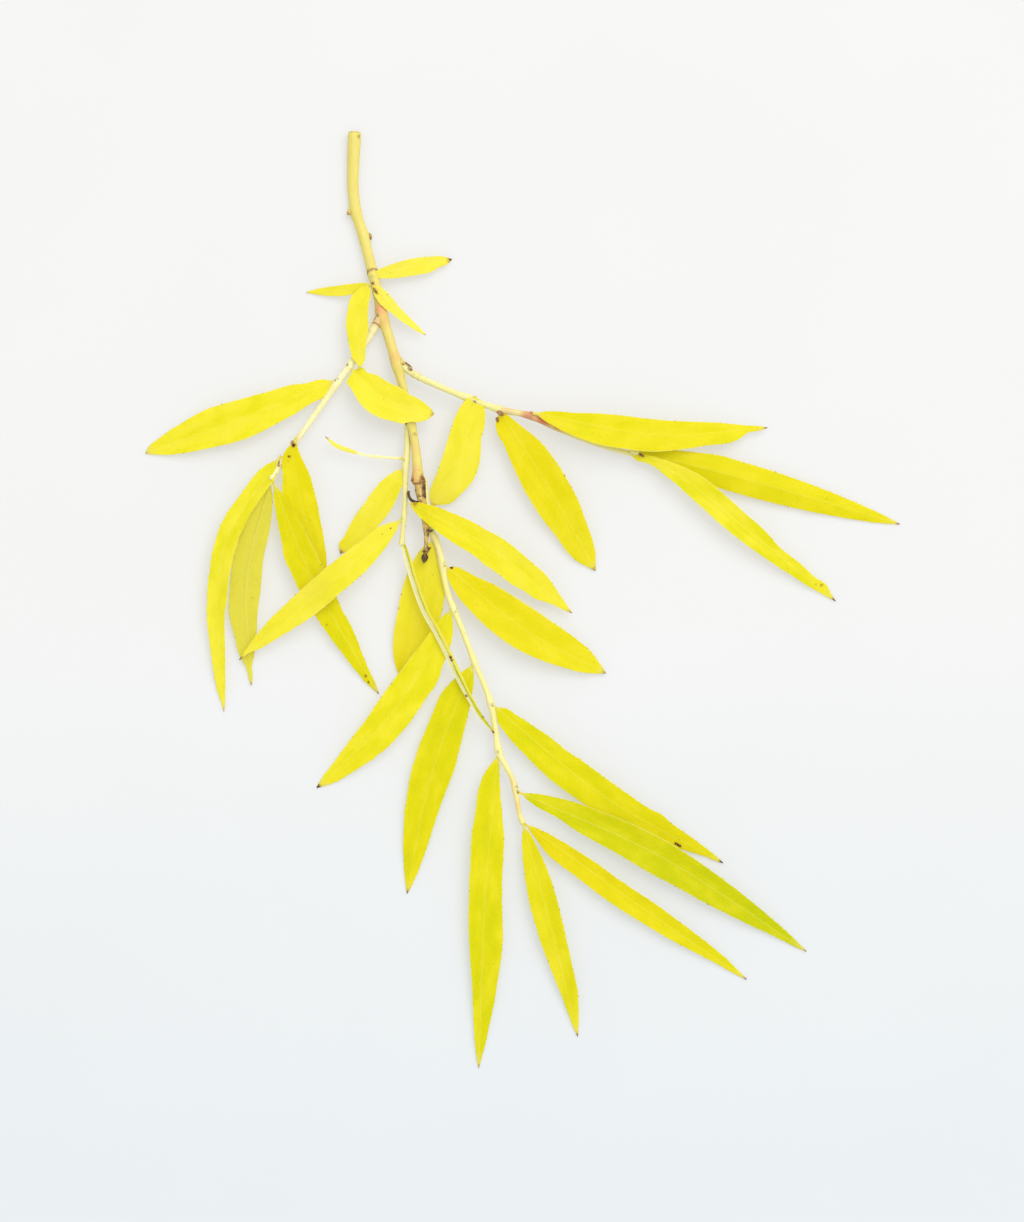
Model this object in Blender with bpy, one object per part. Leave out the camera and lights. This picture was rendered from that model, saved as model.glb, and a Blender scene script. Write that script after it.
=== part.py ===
"""Willow branch: a cut golden willow twig that lies down, with four side shoots and twenty-nine leaves.

Z = 0 is the table. +Y runs along the main stem to its cut end, and the origin is under the middle of the
branch. Paths and sizes below are in millimetres, each path point placed by hand, and MM makes them metres.
A stem's point is (x, y, height, radius) on its pith, a leaf's is (x, y, height) on its midrib.
"""
import math

import bmesh
import bpy
from mathutils import Matrix, Vector

MM = 0.001
UP = Vector((0.0, 0.0, 1.0))

# Driving dimensions of the leaves
BLADE_THICKNESS = 0.65
TOOTH_PITCH = 5.0
TOOTH_DEPTH = 0.35
TOOTH_LEAN = 0.7
PETIOLE_LENGTH = 3.0
PETIOLE_WIDTH = 1.0
TIP_WIDTH = 0.7
TIP_ON_TABLE = BLADE_THICKNESS / 2
BASE_FULLNESS = 0.68
TIP_FULLNESS = 0.78

# Driving dimensions of the stems
STEM_SIDES = 10
STEM_STEP = 6.0
BUD_SIDES = 6
BUD_RINGS = 4

# Free space that a leaf or shoot keeps to the stem that carries it
SEAT_GAP = 0.3
SEAT_STEP = 0.05
SEAT_REACH = 12.0

# Stems, from the cut end and from the fork outwards
MAIN_STEM = [
    (-60.5, 168.3, 2.5, 2.4), (-61.0, 156.4, 2.06, 2.2), (-61.0, 147.4, 1.92, 2.05),
    (-59.9, 139.5, 2.0, 1.95), (-57.4, 130.9, 2.2, 1.9), (-54.9, 121.5, 2.55, 1.85),
    (-52.7, 112.9, 2.95, 1.75), (-50.2, 102.4, 3.5, 1.7), (-47.3, 91.6, 4.15, 1.8),
    (-44.5, 81.9, 4.75, 1.65), (-42.3, 73.6, 5.2, 1.5), (-40.1, 64.6, 5.6, 1.45),
    (-38.3, 53.8, 6.0, 1.65), (-37.3, 45.2, 6.4, 2.25), (-36.9, 41.9, 6.5, 2.3),
]
WITHERED_TIP = [
    (-36.8, 41.5, 6.5, 1.75), (-36.5, 37.6, 6.6, 1.6), (-35.8, 33.3, 6.8, 1.35),
    (-35.1, 28.6, 7.0, 1.1), (-34.6, 23.2, 7.1, 0.95), (-34.7, 18.5, 7.2, 0.9), (-35.1, 15.0, 7.2, 0.85),
]
LEFT_SHOOT = [
    (-51.6, 101.0, 3.5, 1.0), (-55.6, 94.1, 3.9, 1.35), (-61.7, 84.8, 4.5, 1.25), (-68.6, 75.1, 4.9, 1.15),
    (-78.7, 60.7, 5.4, 1.05), (-84.1, 53.1, 5.6, 1.0), (-90.2, 43.4, 5.8, 0.9),
]
MIDDLE_SHOOT = [
    (-41.8, 63.0, 3.6, 1.0), (-41.4, 57.5, 4.2, 1.15), (-41.4, 54.9, 4.6, 1.1), (-41.9, 49.5, 5.0, 1.05),
    (-42.1, 43.0, 5.4, 1.0), (-42.3, 35.1, 5.8, 0.95), (-42.8, 27.2, 6.1, 0.9), (-43.4, 20.3, 6.3, 0.8),
]
RIGHT_SHOOT = [
    (-43.0, 84.4, 4.6, 1.15), (-39.4, 81.9, 4.9, 1.25), (-33.3, 79.0, 5.3, 1.2), (-21.8, 74.3, 5.8, 1.1),
    (-9.2, 68.9, 5.9, 1.15), (2.7, 66.4, 5.6, 1.1), (13.5, 62.1, 5.1, 0.95), (27.9, 57.1, 4.5, 0.9),
    (42.3, 52.7, 3.9, 0.9),
]
LOWER_SHOOT = [
    (-35.5, 41.5, 3.4, 1.1), (-34.6, 33.0, 3.7, 1.5), (-33.0, 25.0, 4.2, 1.55), (-31.0, 20.9, 4.5, 1.4),
    (-28.6, 13.1, 4.8, 1.3), (-25.4, 0.0, 5.1, 1.2), (-21.4, -11.3, 5.2, 1.2), (-17.2, -22.7, 5.0, 1.15),
    (-11.9, -35.8, 4.9, 1.15), (-9.9, -46.3, 4.75, 1.1), (-8.6, -54.6, 4.65, 1.2), (-5.6, -60.1, 4.5, 1.0),
    (-2.7, -66.1, 4.4, 1.0), (-0.9, -76.7, 4.0, 0.9), (0.0, -80.1, 3.8, 0.9),
]


def smooth_path(points, step):
    """Points about one step apart on a smooth curve (Catmull-Rom) through hand-placed points."""
    rows = [Vector(point) for point in points]
    rows = [2 * rows[0] - rows[1], *rows, 2 * rows[-1] - rows[-2]]
    path = []
    for before, start, end, after in zip(rows, rows[1:], rows[2:], rows[3:]):
        pieces = max(1, round((end - start).length / step))
        for piece in range(pieces):
            t = piece / pieces
            bend = 2 * before - 5 * start + 4 * end - after
            twist = 3 * start - before - 3 * end + after
            path.append(0.5 * (2 * start + (end - before) * t + bend * t * t + twist * t ** 3))
    path.append(rows[-2])
    return path


def frame_at(path, index):
    """The direction of a path at one of its points, the level direction across it, and the one above."""
    ahead = path[min(index + 1, len(path) - 1)]
    behind = path[max(index - 1, 0)]
    along = Vector((ahead - behind)[:3]).normalized()
    across = along.cross(UP).normalized()
    return along, across, across.cross(along)


def clearance(spot, stem):
    """Distance from a spot to the bark of a stem, whose two ends are flat cuts."""
    nearest = math.inf
    for start, end in zip(stem, stem[1:]):
        pith = Vector((end - start)[:3])
        share = (spot - Vector(start[:3])).dot(pith) / pith.length_squared
        held = min(max(share, 0.0), 1.0)
        radius = start[3] + (end[3] - start[3]) * held
        beside = (spot - Vector(start[:3]) - pith * share).length - radius
        beyond = abs(share - held) * pith.length
        gap = math.hypot(max(beside, 0.0), beyond) if beyond > 0 else beside
        nearest = min(nearest, gap)
    return nearest


def seated(path, corners, carrier):
    """The path with its first point slid outwards until its end face just clears the stem it grows from."""
    stem = smooth_path(carrier, STEM_STEP)
    start = Vector(path[0][:3])
    outward = (Vector(path[1][:3]) - start).normalized()
    for slide in range(round(SEAT_REACH / SEAT_STEP)):
        spot = start + outward * SEAT_STEP * slide
        if min(clearance(spot + corner, stem) for corner in corners) >= SEAT_GAP:
            break
    return [(*spot, *path[0][3:]), *path[1:]]


def principled(name, colour, roughness):
    """A matt plant surface of one colour, written as sRGB hex."""
    surface = bpy.data.materials.new(name)
    surface.use_nodes = True
    shader = surface.node_tree.nodes["Principled BSDF"]
    channels = [int(colour[first:first + 2], 16) / 255 for first in (0, 2, 4)]
    linear = [c / 12.92 if c <= 0.04045 else ((c + 0.055) / 1.055) ** 2.4 for c in channels]
    shader.inputs["Base Color"].default_value = (*linear, 1.0)
    shader.inputs["Roughness"].default_value = roughness
    surface.diffuse_color = (*linear, 1.0)
    return surface


def add_solid(name, solid, surface):
    """Put a bmesh that was modelled in millimetres into the scene, with all its faces turned outwards."""
    bmesh.ops.recalc_face_normals(solid, faces=solid.faces)
    bmesh.ops.scale(solid, vec=(MM, MM, MM), verts=solid.verts)
    mesh = bpy.data.meshes.new(name)
    solid.to_mesh(mesh)
    solid.free()
    mesh.materials.append(surface)
    piece = bpy.data.objects.new(name, mesh)
    bpy.context.scene.collection.objects.link(piece)
    return piece


def skin(solid, rings):
    """Join rings of points, each with the same number of them, by a band of faces."""
    rows = [[solid.verts.new(spot) for spot in ring] for ring in rings]
    for row, following in zip(rows, rows[1:]):
        for side in range(len(row)):
            other = (side + 1) % len(row)
            solid.faces.new((row[side], row[other], following[other], following[side]))
    return rows


def on_table(ring):
    """The ring with what would reach below the table pressed flat on it."""
    return [Vector((spot.x, spot.y, max(spot.z, 0.0))) for spot in ring]


def stem_ring(centre, radius, across, above):
    """A ten-sided ring with a flat side below."""
    ring = []
    for side in range(STEM_SIDES):
        angle = math.tau * side / STEM_SIDES
        ring.append(centre + radius * (math.cos(angle) * across + math.sin(angle) * above))
    return ring


def grow_stem(name, path, surface, lumps, carrier=None):
    """A tapering stem with its buds, scars and stubs grown into it."""
    if carrier:
        along = (Vector(path[1][:3]) - Vector(path[0][:3])).normalized()
        across = along.cross(UP).normalized()
        path = seated(path, stem_ring(Vector(), path[0][3], across, across.cross(along)), carrier)
    rows = smooth_path(path, STEM_STEP)
    rings = []
    for index, row in enumerate(rows):
        _, across, above = frame_at(rows, index)
        rings.append(on_table(stem_ring(Vector(row[:3]), row[3], across, above)))
    solid = bmesh.new()
    bands = skin(solid, rings)
    solid.faces.new(bands[0])
    solid.faces.new(bands[-1])
    stem = add_solid(name, solid, surface)
    grown = bmesh.new()
    for spot, outward, length, radius in lumps:
        turn = UP.rotation_difference(Vector(outward)).to_matrix().to_4x4()
        place = Matrix.Translation(spot) @ turn @ Matrix.Diagonal((radius, radius, length / 2, 1.0))
        bmesh.ops.create_uvsphere(grown, u_segments=BUD_SIDES, v_segments=BUD_RINGS, radius=1.0, matrix=place)
    lump = add_solid(name + "_lumps", grown, surface)
    lump.hide_render = True
    lump.display_type = "WIRE"
    union = stem.modifiers.new("buds and scars", "BOOLEAN")
    union.operation = "UNION"
    union.use_self = True
    union.object = lump


def blade_outline(t, widest):
    """Share of the full width at t along a lance-shaped blade."""
    if t < widest:
        return math.sin(math.pi / 2 * t / widest) ** BASE_FULLNESS
    return math.cos(math.pi / 2 * (t - widest) / (1 - widest)) ** TIP_FULLNESS


def blade_section(centre, half, fold, across, above):
    """Six corners of a blade that is folded along its midrib, as thick everywhere as the leaf is."""
    skin_depth = BLADE_THICKNESS / 2
    right_wing = across * math.cos(fold) + above * math.sin(fold)
    left_wing = above * math.sin(fold) - across * math.cos(fold)
    right_face = above * math.cos(fold) - across * math.sin(fold)
    left_face = above * math.cos(fold) + across * math.sin(fold)
    ridge = above * skin_depth / math.cos(fold)
    return on_table([
        centre + right_wing * half + right_face * skin_depth,
        centre + ridge,
        centre + left_wing * half + left_face * skin_depth,
        centre + left_wing * half - left_face * skin_depth,
        centre - ridge,
        centre + right_wing * half - right_face * skin_depth,
    ])


def grow_leaf(name, path, width, surface, carrier, fold=8.0, roll=0.0, widest=0.42):
    """A toothed willow leaf on a short stalk, folded a little at its midrib and rolled about it."""
    along = (Vector(path[1]) - Vector(path[0])).normalized()
    aside = along.cross(UP).normalized() * PETIOLE_WIDTH / 2
    over = UP * BLADE_THICKNESS / 2
    rows = smooth_path(seated(path, [aside + over, aside - over, over - aside, -aside - over], carrier), 1.0)
    travelled = [0.0]
    for row, following in zip(rows, rows[1:]):
        travelled.append(travelled[-1] + (following - row).length)
    length = travelled[-1]
    blade = length - PETIOLE_LENGTH
    teeth = round(blade / TOOTH_PITCH)
    stations = [(0.0, 0.0)]
    for tooth in range(teeth):
        stations.append((PETIOLE_LENGTH + blade * tooth / teeth, 0.0))
        stations.append((PETIOLE_LENGTH + blade * (tooth + TOOTH_LEAN) / teeth, TOOTH_DEPTH))
    stations.append((length, 0.0))
    sections = []
    for distance, tooth_depth in stations:
        index = min(range(len(rows)), key=lambda k: abs(travelled[k] - distance))
        along, across, above = frame_at(rows, index)
        centre = rows[index] + along * (distance - travelled[index])
        across.rotate(Matrix.Rotation(math.radians(roll), 3, along))
        above.rotate(Matrix.Rotation(math.radians(roll), 3, along))
        t = max(0.0, (distance - PETIOLE_LENGTH) / blade)
        share = blade_outline(t, widest)
        narrowest = PETIOLE_WIDTH + (TIP_WIDTH - PETIOLE_WIDTH) * t
        half = max(narrowest / 2, width / 2 * share + tooth_depth * min(1.0, 3 * share))
        folded = math.radians(fold) * min(1.0, 1.6 * share)
        sections.append(blade_section(centre, half, folded, across, above))
    solid = bmesh.new()
    bands = skin(solid, sections)
    for band in (bands[0], bands[-1]):
        solid.faces.new((band[0], band[1], band[4], band[5]))
        solid.faces.new((band[1], band[2], band[3], band[4]))
    add_solid(name, solid, surface)


for leftover in list(bpy.data.objects):
    bpy.data.objects.remove(leftover, do_unlink=True)

straw_bark = principled("straw_bark", "f6e684", 0.55)
rosy_bark = principled("rosy_bark", "f3efa6", 0.55)
withered_bark = principled("withered_bark", "8a6a44", 0.8)
lemon_leaf = principled("lemon_leaf", "efe62c", 0.5)
green_leaf = principled("green_tinged_leaf", "dcd819", 0.5)
golden_leaf = principled("golden_leaf", "ede21d", 0.5)
pale_leaf = principled("pale_leaf_underside", "e4de66", 0.6)

# The woody parts, each with its buds, leaf scars and bud scales: spot, direction, length, radius
grow_stem("main_stem", MAIN_STEM, straw_bark, [
    ((-62.0, 139.4, 2.4), (-0.8, -0.3, 0.3), 2.6, 0.8),
    ((-55.2, 131.0, 2.4), (0.9, -0.2, 0.2), 2.0, 0.8),
    ((-54.2, 118.6, 3.9), (0.0, -0.4, 1.0), 1.6, 1.1),
    ((-52.6, 111.3, 4.3), (0.2, -0.8, 0.6), 2.4, 0.7),
    ((-51.4, 102.8, 4.4), (-0.5, -0.8, 0.4), 3.4, 1.1),
    ((-43.4, 85.4, 5.6), (0.6, -0.7, 0.5), 3.2, 1.1),
    ((-41.5, 63.8, 6.2), (-0.8, -0.5, 0.3), 2.4, 0.8),
    ((-38.6, 43.6, 7.6), (-0.6, -0.7, 0.5), 3.0, 1.0),
])
grow_stem("withered_tip", WITHERED_TIP, withered_bark, [
    ((-38.2, 37.4, 6.7), (-1.0, -0.6, 0.1), 3.6, 0.6),
    ((-39.7, 37.2, 6.8), (-0.3, 1.0, 0.2), 3.2, 0.55),
    ((-33.4, 24.6, 7.2), (0.9, -0.4, 0.2), 2.6, 0.5),
    ((-33.8, 18.0, 7.3), (0.9, -0.3, 0.3), 2.0, 0.45),
    ((-35.1, 15.2, 7.2), (-0.2, -1.0, 0.0), 3.4, 1.15),
])
grow_stem("left_shoot", LEFT_SHOOT, rosy_bark, [
    ((-62.6, 84.6, 5.2), (-0.4, -0.6, 0.7), 2.4, 0.8),
    ((-66.8, 79.0, 5.2), (-0.7, 0.5, 0.4), 2.0, 0.8),
    ((-82.8, 56.2, 6.1), (0.3, -0.8, 0.6), 2.2, 0.75),
    ((-87.2, 49.4, 6.1), (-0.6, -0.5, 0.6), 2.0, 0.75),
], MAIN_STEM)
grow_stem("middle_shoot", MIDDLE_SHOOT, rosy_bark, [
    ((-42.3, 50.2, 5.6), (-0.7, 0.2, 0.5), 2.0, 0.75),
    ((-43.2, 29.4, 6.6), (-0.5, -0.5, 0.7), 2.0, 0.7),
], MAIN_STEM)
grow_stem("right_shoot", RIGHT_SHOOT, rosy_bark, [
    ((-17.4, 71.8, 6.4), (0.4, -0.6, 0.7), 2.2, 0.8),
    ((-9.0, 68.2, 6.4), (0.8, -0.6, 0.5), 2.6, 0.8),
    ((3.0, 66.4, 5.9), (0.9, 0.2, 0.3), 3.2, 1.0),
], MAIN_STEM)
grow_stem("lower_shoot", LOWER_SHOOT, straw_bark, [
    ((-28.0, 12.6, 5.5), (0.6, -0.7, 0.5), 2.2, 0.8),
    ((-23.8, -4.0, 5.8), (-0.5, -0.7, 0.6), 2.0, 0.75),
    ((-11.0, -37.6, 5.5), (0.6, -0.7, 0.5), 2.2, 0.8),
    ((-8.8, -54.2, 5.2), (-0.3, -0.8, 0.6), 2.2, 0.85),
    ((-2.0, -68.8, 4.9), (0.6, -0.7, 0.5), 2.0, 0.75),
], WITHERED_TIP)

# Four small leaves round the bud scars near the cut end
grow_leaf("leaf_top_1", [(-53.4, 117.4, 2.8), (-38.3, 119.9, 4.2), (-25.4, 122.6, 2.2)],
          6.1, lemon_leaf, MAIN_STEM, widest=0.5, roll=10.0)
grow_leaf("leaf_top_2", [(-54.5, 112.6, 3.0), (-65.7, 111.3, 2.6), (-78.2, 110.8, TIP_ON_TABLE)],
          4.3, lemon_leaf, MAIN_STEM, roll=-12.0)
grow_leaf("leaf_top_3", [(-54.0, 112.0, 3.2), (-59.5, 99.9, 6.2), (-58.6, 82.6, 7.6)],
          7.8, lemon_leaf, MAIN_STEM, roll=8.0)
grow_leaf("leaf_top_4", [(-52.2, 112.4, 5.3), (-45.9, 104.2, 5.0), (-35.5, 95.6, 3.0)],
          5.0, lemon_leaf, MAIN_STEM, roll=-10.0)

# Six leaves of the left shoot
grow_leaf("leaf_left_1", [(-62.2, 83.6, 5.0), (-49.9, 71.8, 7.8), (-31.7, 66.6, 7.2)],
          13.7, lemon_leaf, LEFT_SHOOT, fold=10.0, roll=-6.0)
grow_leaf("leaf_left_2", [(-66.8, 79.0, 4.7), (-101.7, 64.6, 4.2), (-136.0, 52.8, TIP_ON_TABLE)],
          13.0, lemon_leaf, LEFT_SHOOT, fold=7.0, roll=6.0)
grow_leaf("leaf_left_3", [(-82.3, 56.0, 5.2), (-81.2, 35.5, 3.0), (-71.0, 5.5, 1.0)],
          11.9, green_leaf, LEFT_SHOOT, roll=-6.0)
grow_leaf("leaf_left_4", [(-89.9, 42.8, 6.3), (-79.4, 15.7, 5.8), (-70.4, -2.7, 4.4),
                          (-51.7, -34.0, TIP_ON_TABLE)],
          10.8, green_leaf, LEFT_SHOOT, fold=7.0, roll=5.0)
grow_leaf("leaf_left_5", [(-87.4, 49.2, 5.9), (-105.7, 23.2, 6.4), (-110.0, -0.2, 5.0),
                          (-107.5, -40.3, TIP_ON_TABLE)],
          8.6, green_leaf, LEFT_SHOOT, fold=10.0, roll=8.0)
grow_leaf("leaf_left_6", [(-90.6, 43.0, 5.1), (-99.5, 7.0, 3.0), (-97.2, -30.8, 0.6)],
          11.5, pale_leaf, LEFT_SHOOT)

# Four leaves of the middle shoot, the last one folded shut
grow_leaf("leaf_middle_1", [(-42.0, 50.6, 5.0), (-55.0, 51.3, 4.0), (-63.2, 54.2, 4.2), (-71.1, 58.5, 5.5)],
          1.8, lemon_leaf, MIDDLE_SHOOT, fold=0.0)
grow_leaf("leaf_middle_2", [(-42.2, 48.2, 5.1), (-52.4, 34.7, 4.2), (-66.4, 16.7, 1.5)],
          9.4, lemon_leaf, MIDDLE_SHOOT, fold=9.0, roll=6.0)
grow_leaf("leaf_middle_3", [(-43.0, 29.3, 6.3), (-62.1, 10.6, 8.6), (-81.9, -7.4, 7.2), (-101.3, -22.5, 3.6)],
          10.8, lemon_leaf, MIDDLE_SHOOT, roll=-5.0)
grow_leaf("leaf_middle_4", [(-43.4, 19.6, 6.4), (-33.8, -5.8, 8.3), (-27.9, -17.6, 8.3), (-9.9, -46.9, 6.9)],
          4.4, lemon_leaf, MIDDLE_SHOOT, fold=60.0)

# Five leaves of the right shoot
grow_leaf("leaf_right_1", [(-17.4, 71.6, 5.8), (-22.9, 49.5, 4.6), (-32.3, 34.0, 2.0)],
          13.0, lemon_leaf, RIGHT_SHOOT, fold=9.0, roll=-6.0)
grow_leaf("leaf_right_2", [(-8.9, 68.8, 5.8), (8.5, 41.6, 5.0), (26.5, 10.4, 0.8)],
          14.8, golden_leaf, RIGHT_SHOOT, fold=7.0, roll=5.0)
grow_leaf("leaf_right_3", [(3.6, 67.0, 7.6), (47.7, 59.1, 7.2), (88.4, 62.3, 2.2)],
          11.5, lemon_leaf, RIGHT_SHOOT, roll=-3.0)
grow_leaf("leaf_right_4", [(42.0, 52.8, 3.3), (80.1, 43.6, 4.2), (136.0, 27.3, TIP_ON_TABLE)],
          11.9, lemon_leaf, RIGHT_SHOOT, fold=-8.0, roll=4.0)
grow_leaf("leaf_right_5", [(42.0, 52.9, 4.6), (58.0, 42.0, 6.4), (81.5, 22.9, 5.8),
                           (112.7, -0.5, TIP_ON_TABLE)],
          9.0, lemon_leaf, RIGHT_SHOOT, roll=6.0)

# Ten leaves of the lower shoot
grow_leaf("leaf_lower_1", [(-40.6, 35.4, 8.9), (-11.7, 18.2, 8.4), (17.8, -4.9, 3.0)],
          11.9, lemon_leaf, WITHERED_TIP, roll=5.0)
grow_leaf("leaf_lower_2", [(-32.4, 22.4, 4.3), (-37.3, -5.9, 2.6), (-44.1, -28.3, 0.8)],
          15.8, golden_leaf, LOWER_SHOOT, fold=5.0)
grow_leaf("leaf_lower_3", [(-24.4, -4.4, 5.1), (-33.5, -21.5, 5.4), (-51.3, -45.2, 4.2),
                           (-74.2, -67.9, TIP_ON_TABLE)],
          12.6, lemon_leaf, LOWER_SHOOT, fold=9.0, roll=-5.0)
grow_leaf("leaf_lower_4", [(-17.7, -22.4, 4.8), (-32.9, -63.9, 3.4), (-41.6, -106.0, TIP_ON_TABLE)],
          13.0, green_leaf, LOWER_SHOOT, fold=7.0, roll=6.0)
grow_leaf("leaf_lower_5", [(-28.2, 12.3, 4.9), (0.9, -10.8, 5.2), (30.1, -26.6, 1.2)],
          13.7, golden_leaf, LOWER_SHOOT, fold=9.0, roll=-6.0)
grow_leaf("leaf_lower_6", [(-11.0, -37.8, 4.9), (29.8, -71.2, 3.8), (72.5, -95.2, 0.6)],
          11.9, green_leaf, LOWER_SHOOT, fold=7.0, roll=6.0)
grow_leaf("leaf_lower_7", [(-8.9, -55.0, 4.6), (-13.4, -108.2, 4.2), (-15.8, -168.9, TIP_ON_TABLE)],
          11.2, green_leaf, LOWER_SHOOT, roll=-7.0)
grow_leaf("leaf_lower_8", [(-1.6, -69.2, 4.6), (50.8, -93.1, 5.4), (102.4, -126.9, TIP_ON_TABLE)],
          12.2, green_leaf, LOWER_SHOOT, roll=5.0)
grow_leaf("leaf_lower_9", [(0.3, -80.4, 3.2), (40.2, -109.4, 3.8), (80.8, -137.3, TIP_ON_TABLE)],
          9.0, golden_leaf, LOWER_SHOOT, fold=10.0, roll=6.0)
grow_leaf("leaf_lower_10", [(0.1, -80.4, 4.5), (10.2, -119.0, 4.4), (19.6, -157.5, TIP_ON_TABLE)],
          9.4, golden_leaf, LOWER_SHOOT, fold=9.0, roll=5.0)
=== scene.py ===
import math
import random

import bmesh
import bpy
from mathutils import Matrix, Vector, noise


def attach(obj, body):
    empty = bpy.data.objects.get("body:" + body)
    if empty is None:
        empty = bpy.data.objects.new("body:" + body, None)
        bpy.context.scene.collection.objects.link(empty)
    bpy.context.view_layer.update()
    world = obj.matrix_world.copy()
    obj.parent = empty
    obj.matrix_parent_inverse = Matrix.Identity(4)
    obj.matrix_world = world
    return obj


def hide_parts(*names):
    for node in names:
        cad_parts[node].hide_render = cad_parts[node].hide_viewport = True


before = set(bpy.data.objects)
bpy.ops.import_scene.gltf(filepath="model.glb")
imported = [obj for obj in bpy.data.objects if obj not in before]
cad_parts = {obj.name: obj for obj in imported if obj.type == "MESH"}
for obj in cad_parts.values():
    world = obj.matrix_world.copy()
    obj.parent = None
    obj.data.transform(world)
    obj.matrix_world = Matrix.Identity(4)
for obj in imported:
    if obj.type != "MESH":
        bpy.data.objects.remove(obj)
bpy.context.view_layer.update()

# Main stem: a one-year willow twig with thin straw-yellow bark, cut square at its top end. It grew as one
# piece with its buds, its leaf scars, and the swollen end below that healed round the dead wood.
MM = 0.001
UP = Vector((0.0, 0.0, 1.0))
RING_STEP = 0.55
STEM_SIDES = 28
BUD_SIDES = 14
BUD_RINGS = 10
WRINKLE_WIDTH = 0.9
WRINKLE_LENGTH = 6.0
WRINKLE_DETAIL = 2.3
RIDGE_WIDTH = 0.32
COLLAR_REACH = 3.0
# A bud's egg shape: where it is fullest, how blunt its ends are, how far it curves up, and its keel
BUD_FULLEST = 0.72
BUD_BLUNTNESS = 0.8
BUD_LIFT = 0.12
BUD_KEEL = 0.1
# Rings that close an end: their share of its radius and of its bulge. The outer ones are bark
END_RINGS = ((0.96, 0.55), (0.86, 0.9), (0.74, 1.0), (0.4, 1.0))
BARK_RIM = 0.8

# Points on the pith, from the cut end down, in millimetres: x, y, height, radius
main_stem_path = [
    (-60.5, 167.6, 2.5, 2.4), (-61, 156.4, 2.06, 2.2), (-61, 147.4, 1.92, 2.05),
    (-59.9, 139.5, 2, 1.95), (-57.4, 130.9, 2.2, 1.9), (-54.9, 121.5, 2.55, 1.85),
    (-52.7, 112.9, 2.95, 1.75), (-50.5, 102.4, 3.5, 1.85), (-47.3, 91.6, 4.15, 1.8),
    (-44.5, 81.9, 4.75, 1.65), (-42.3, 73.6, 5.2, 1.5), (-40.1, 64.6, 5.6, 1.45),
    (-38.4, 53.8, 6, 1.6), (-37.6, 45.2, 6.4, 1.95), (-37.2, 41.9, 6.5, 2),
]


def smooth_path(points, step):
    """Points about one step apart on a smooth curve through given points."""
    rows = [Vector(point) for point in points]
    rows = [2 * rows[0] - rows[1], *rows, 2 * rows[-1] - rows[-2]]
    path = []
    for before, start, end, after in zip(rows, rows[1:], rows[2:], rows[3:]):
        pieces = max(1, round((end - start).length / step))
        for piece in range(pieces):
            t = piece / pieces
            bend = 2 * before - 5 * start + 4 * end - after
            twist = 3 * start - before - 3 * end + after
            path.append(0.5 * (2 * start + (end - before) * t + bend * t * t + twist * t ** 3))
    path.append(rows[-2])
    return path


def lengths_along(path):
    """How far each point of a path is from its first point, measured along it."""
    travelled = [0.0]
    for row, following in zip(path, path[1:]):
        travelled.append(travelled[-1] + Vector((following - row)[:3]).length)
    return travelled


def frame_at(path, index):
    """The direction of a path at one of its points, the level direction across it, and the one above."""
    ahead = path[min(index + 1, len(path) - 1)]
    behind = path[max(index - 1, 0)]
    along = Vector((ahead - behind)[:3]).normalized()
    across = along.cross(UP).normalized()
    return along, across, across.cross(along)


def near(distance, reach):
    """1 at a place, falling smoothly to 0 beyond its reach."""
    return math.exp(-(distance / reach) ** 2)


class Growth:
    """The skin of one piece as it is put together: its corners in millimetres, its faces and its tones."""

    def __init__(self):
        self.spots = []
        self.faces = []
        self.patterns = []
        self.tones = []
        self.ages = []

    def corner(self, spot, pattern, tone, age=(0.0, 0.0, 0.0)):
        """Add a corner with its place in the pattern, its tone and its age, and return its number."""
        self.spots.append(spot)
        self.patterns.append(pattern)
        self.tones.append(tone)
        self.ages.append(age)
        return len(self.spots) - 1

    def band(self, rings):
        """Join closed rings of corners, each to the next."""
        for ring, following in zip(rings, rings[1:]):
            for side in range(len(ring)):
                other = (side + 1) % len(ring)
                self.faces.append((ring[side], ring[other], following[other], following[side]))

    def cap(self, ring, spot, pattern, tone):
        """Close a ring with triangles that meet at one spot."""
        tip = self.corner(spot, pattern, tone)
        for side in range(len(ring)):
            self.faces.append((ring[side], ring[(side + 1) % len(ring)], tip))

    def finish(self, node, surface):
        """Make the piece that stands for its CAD node and rides with it."""
        mesh = bpy.data.meshes.new("willow_" + node)
        mesh.from_pydata([spot * MM for spot in self.spots], [], self.faces)
        for label, values in (("pattern_mm", self.patterns), ("tone", self.tones), ("age", self.ages)):
            layer = mesh.attributes.new(label, "FLOAT_VECTOR", "POINT")
            layer.data.foreach_set("vector", [number for value in values for number in value])
        solid = bmesh.new()
        solid.from_mesh(mesh)
        bmesh.ops.recalc_face_normals(solid, faces=solid.faces)
        solid.to_mesh(mesh)
        solid.free()
        mesh.shade_smooth()
        mesh.materials.append(surface)
        piece = bpy.data.objects.new("willow_" + node, mesh)
        bpy.context.scene.collection.objects.link(piece)
        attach(piece, "root")
        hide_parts(node)


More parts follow.
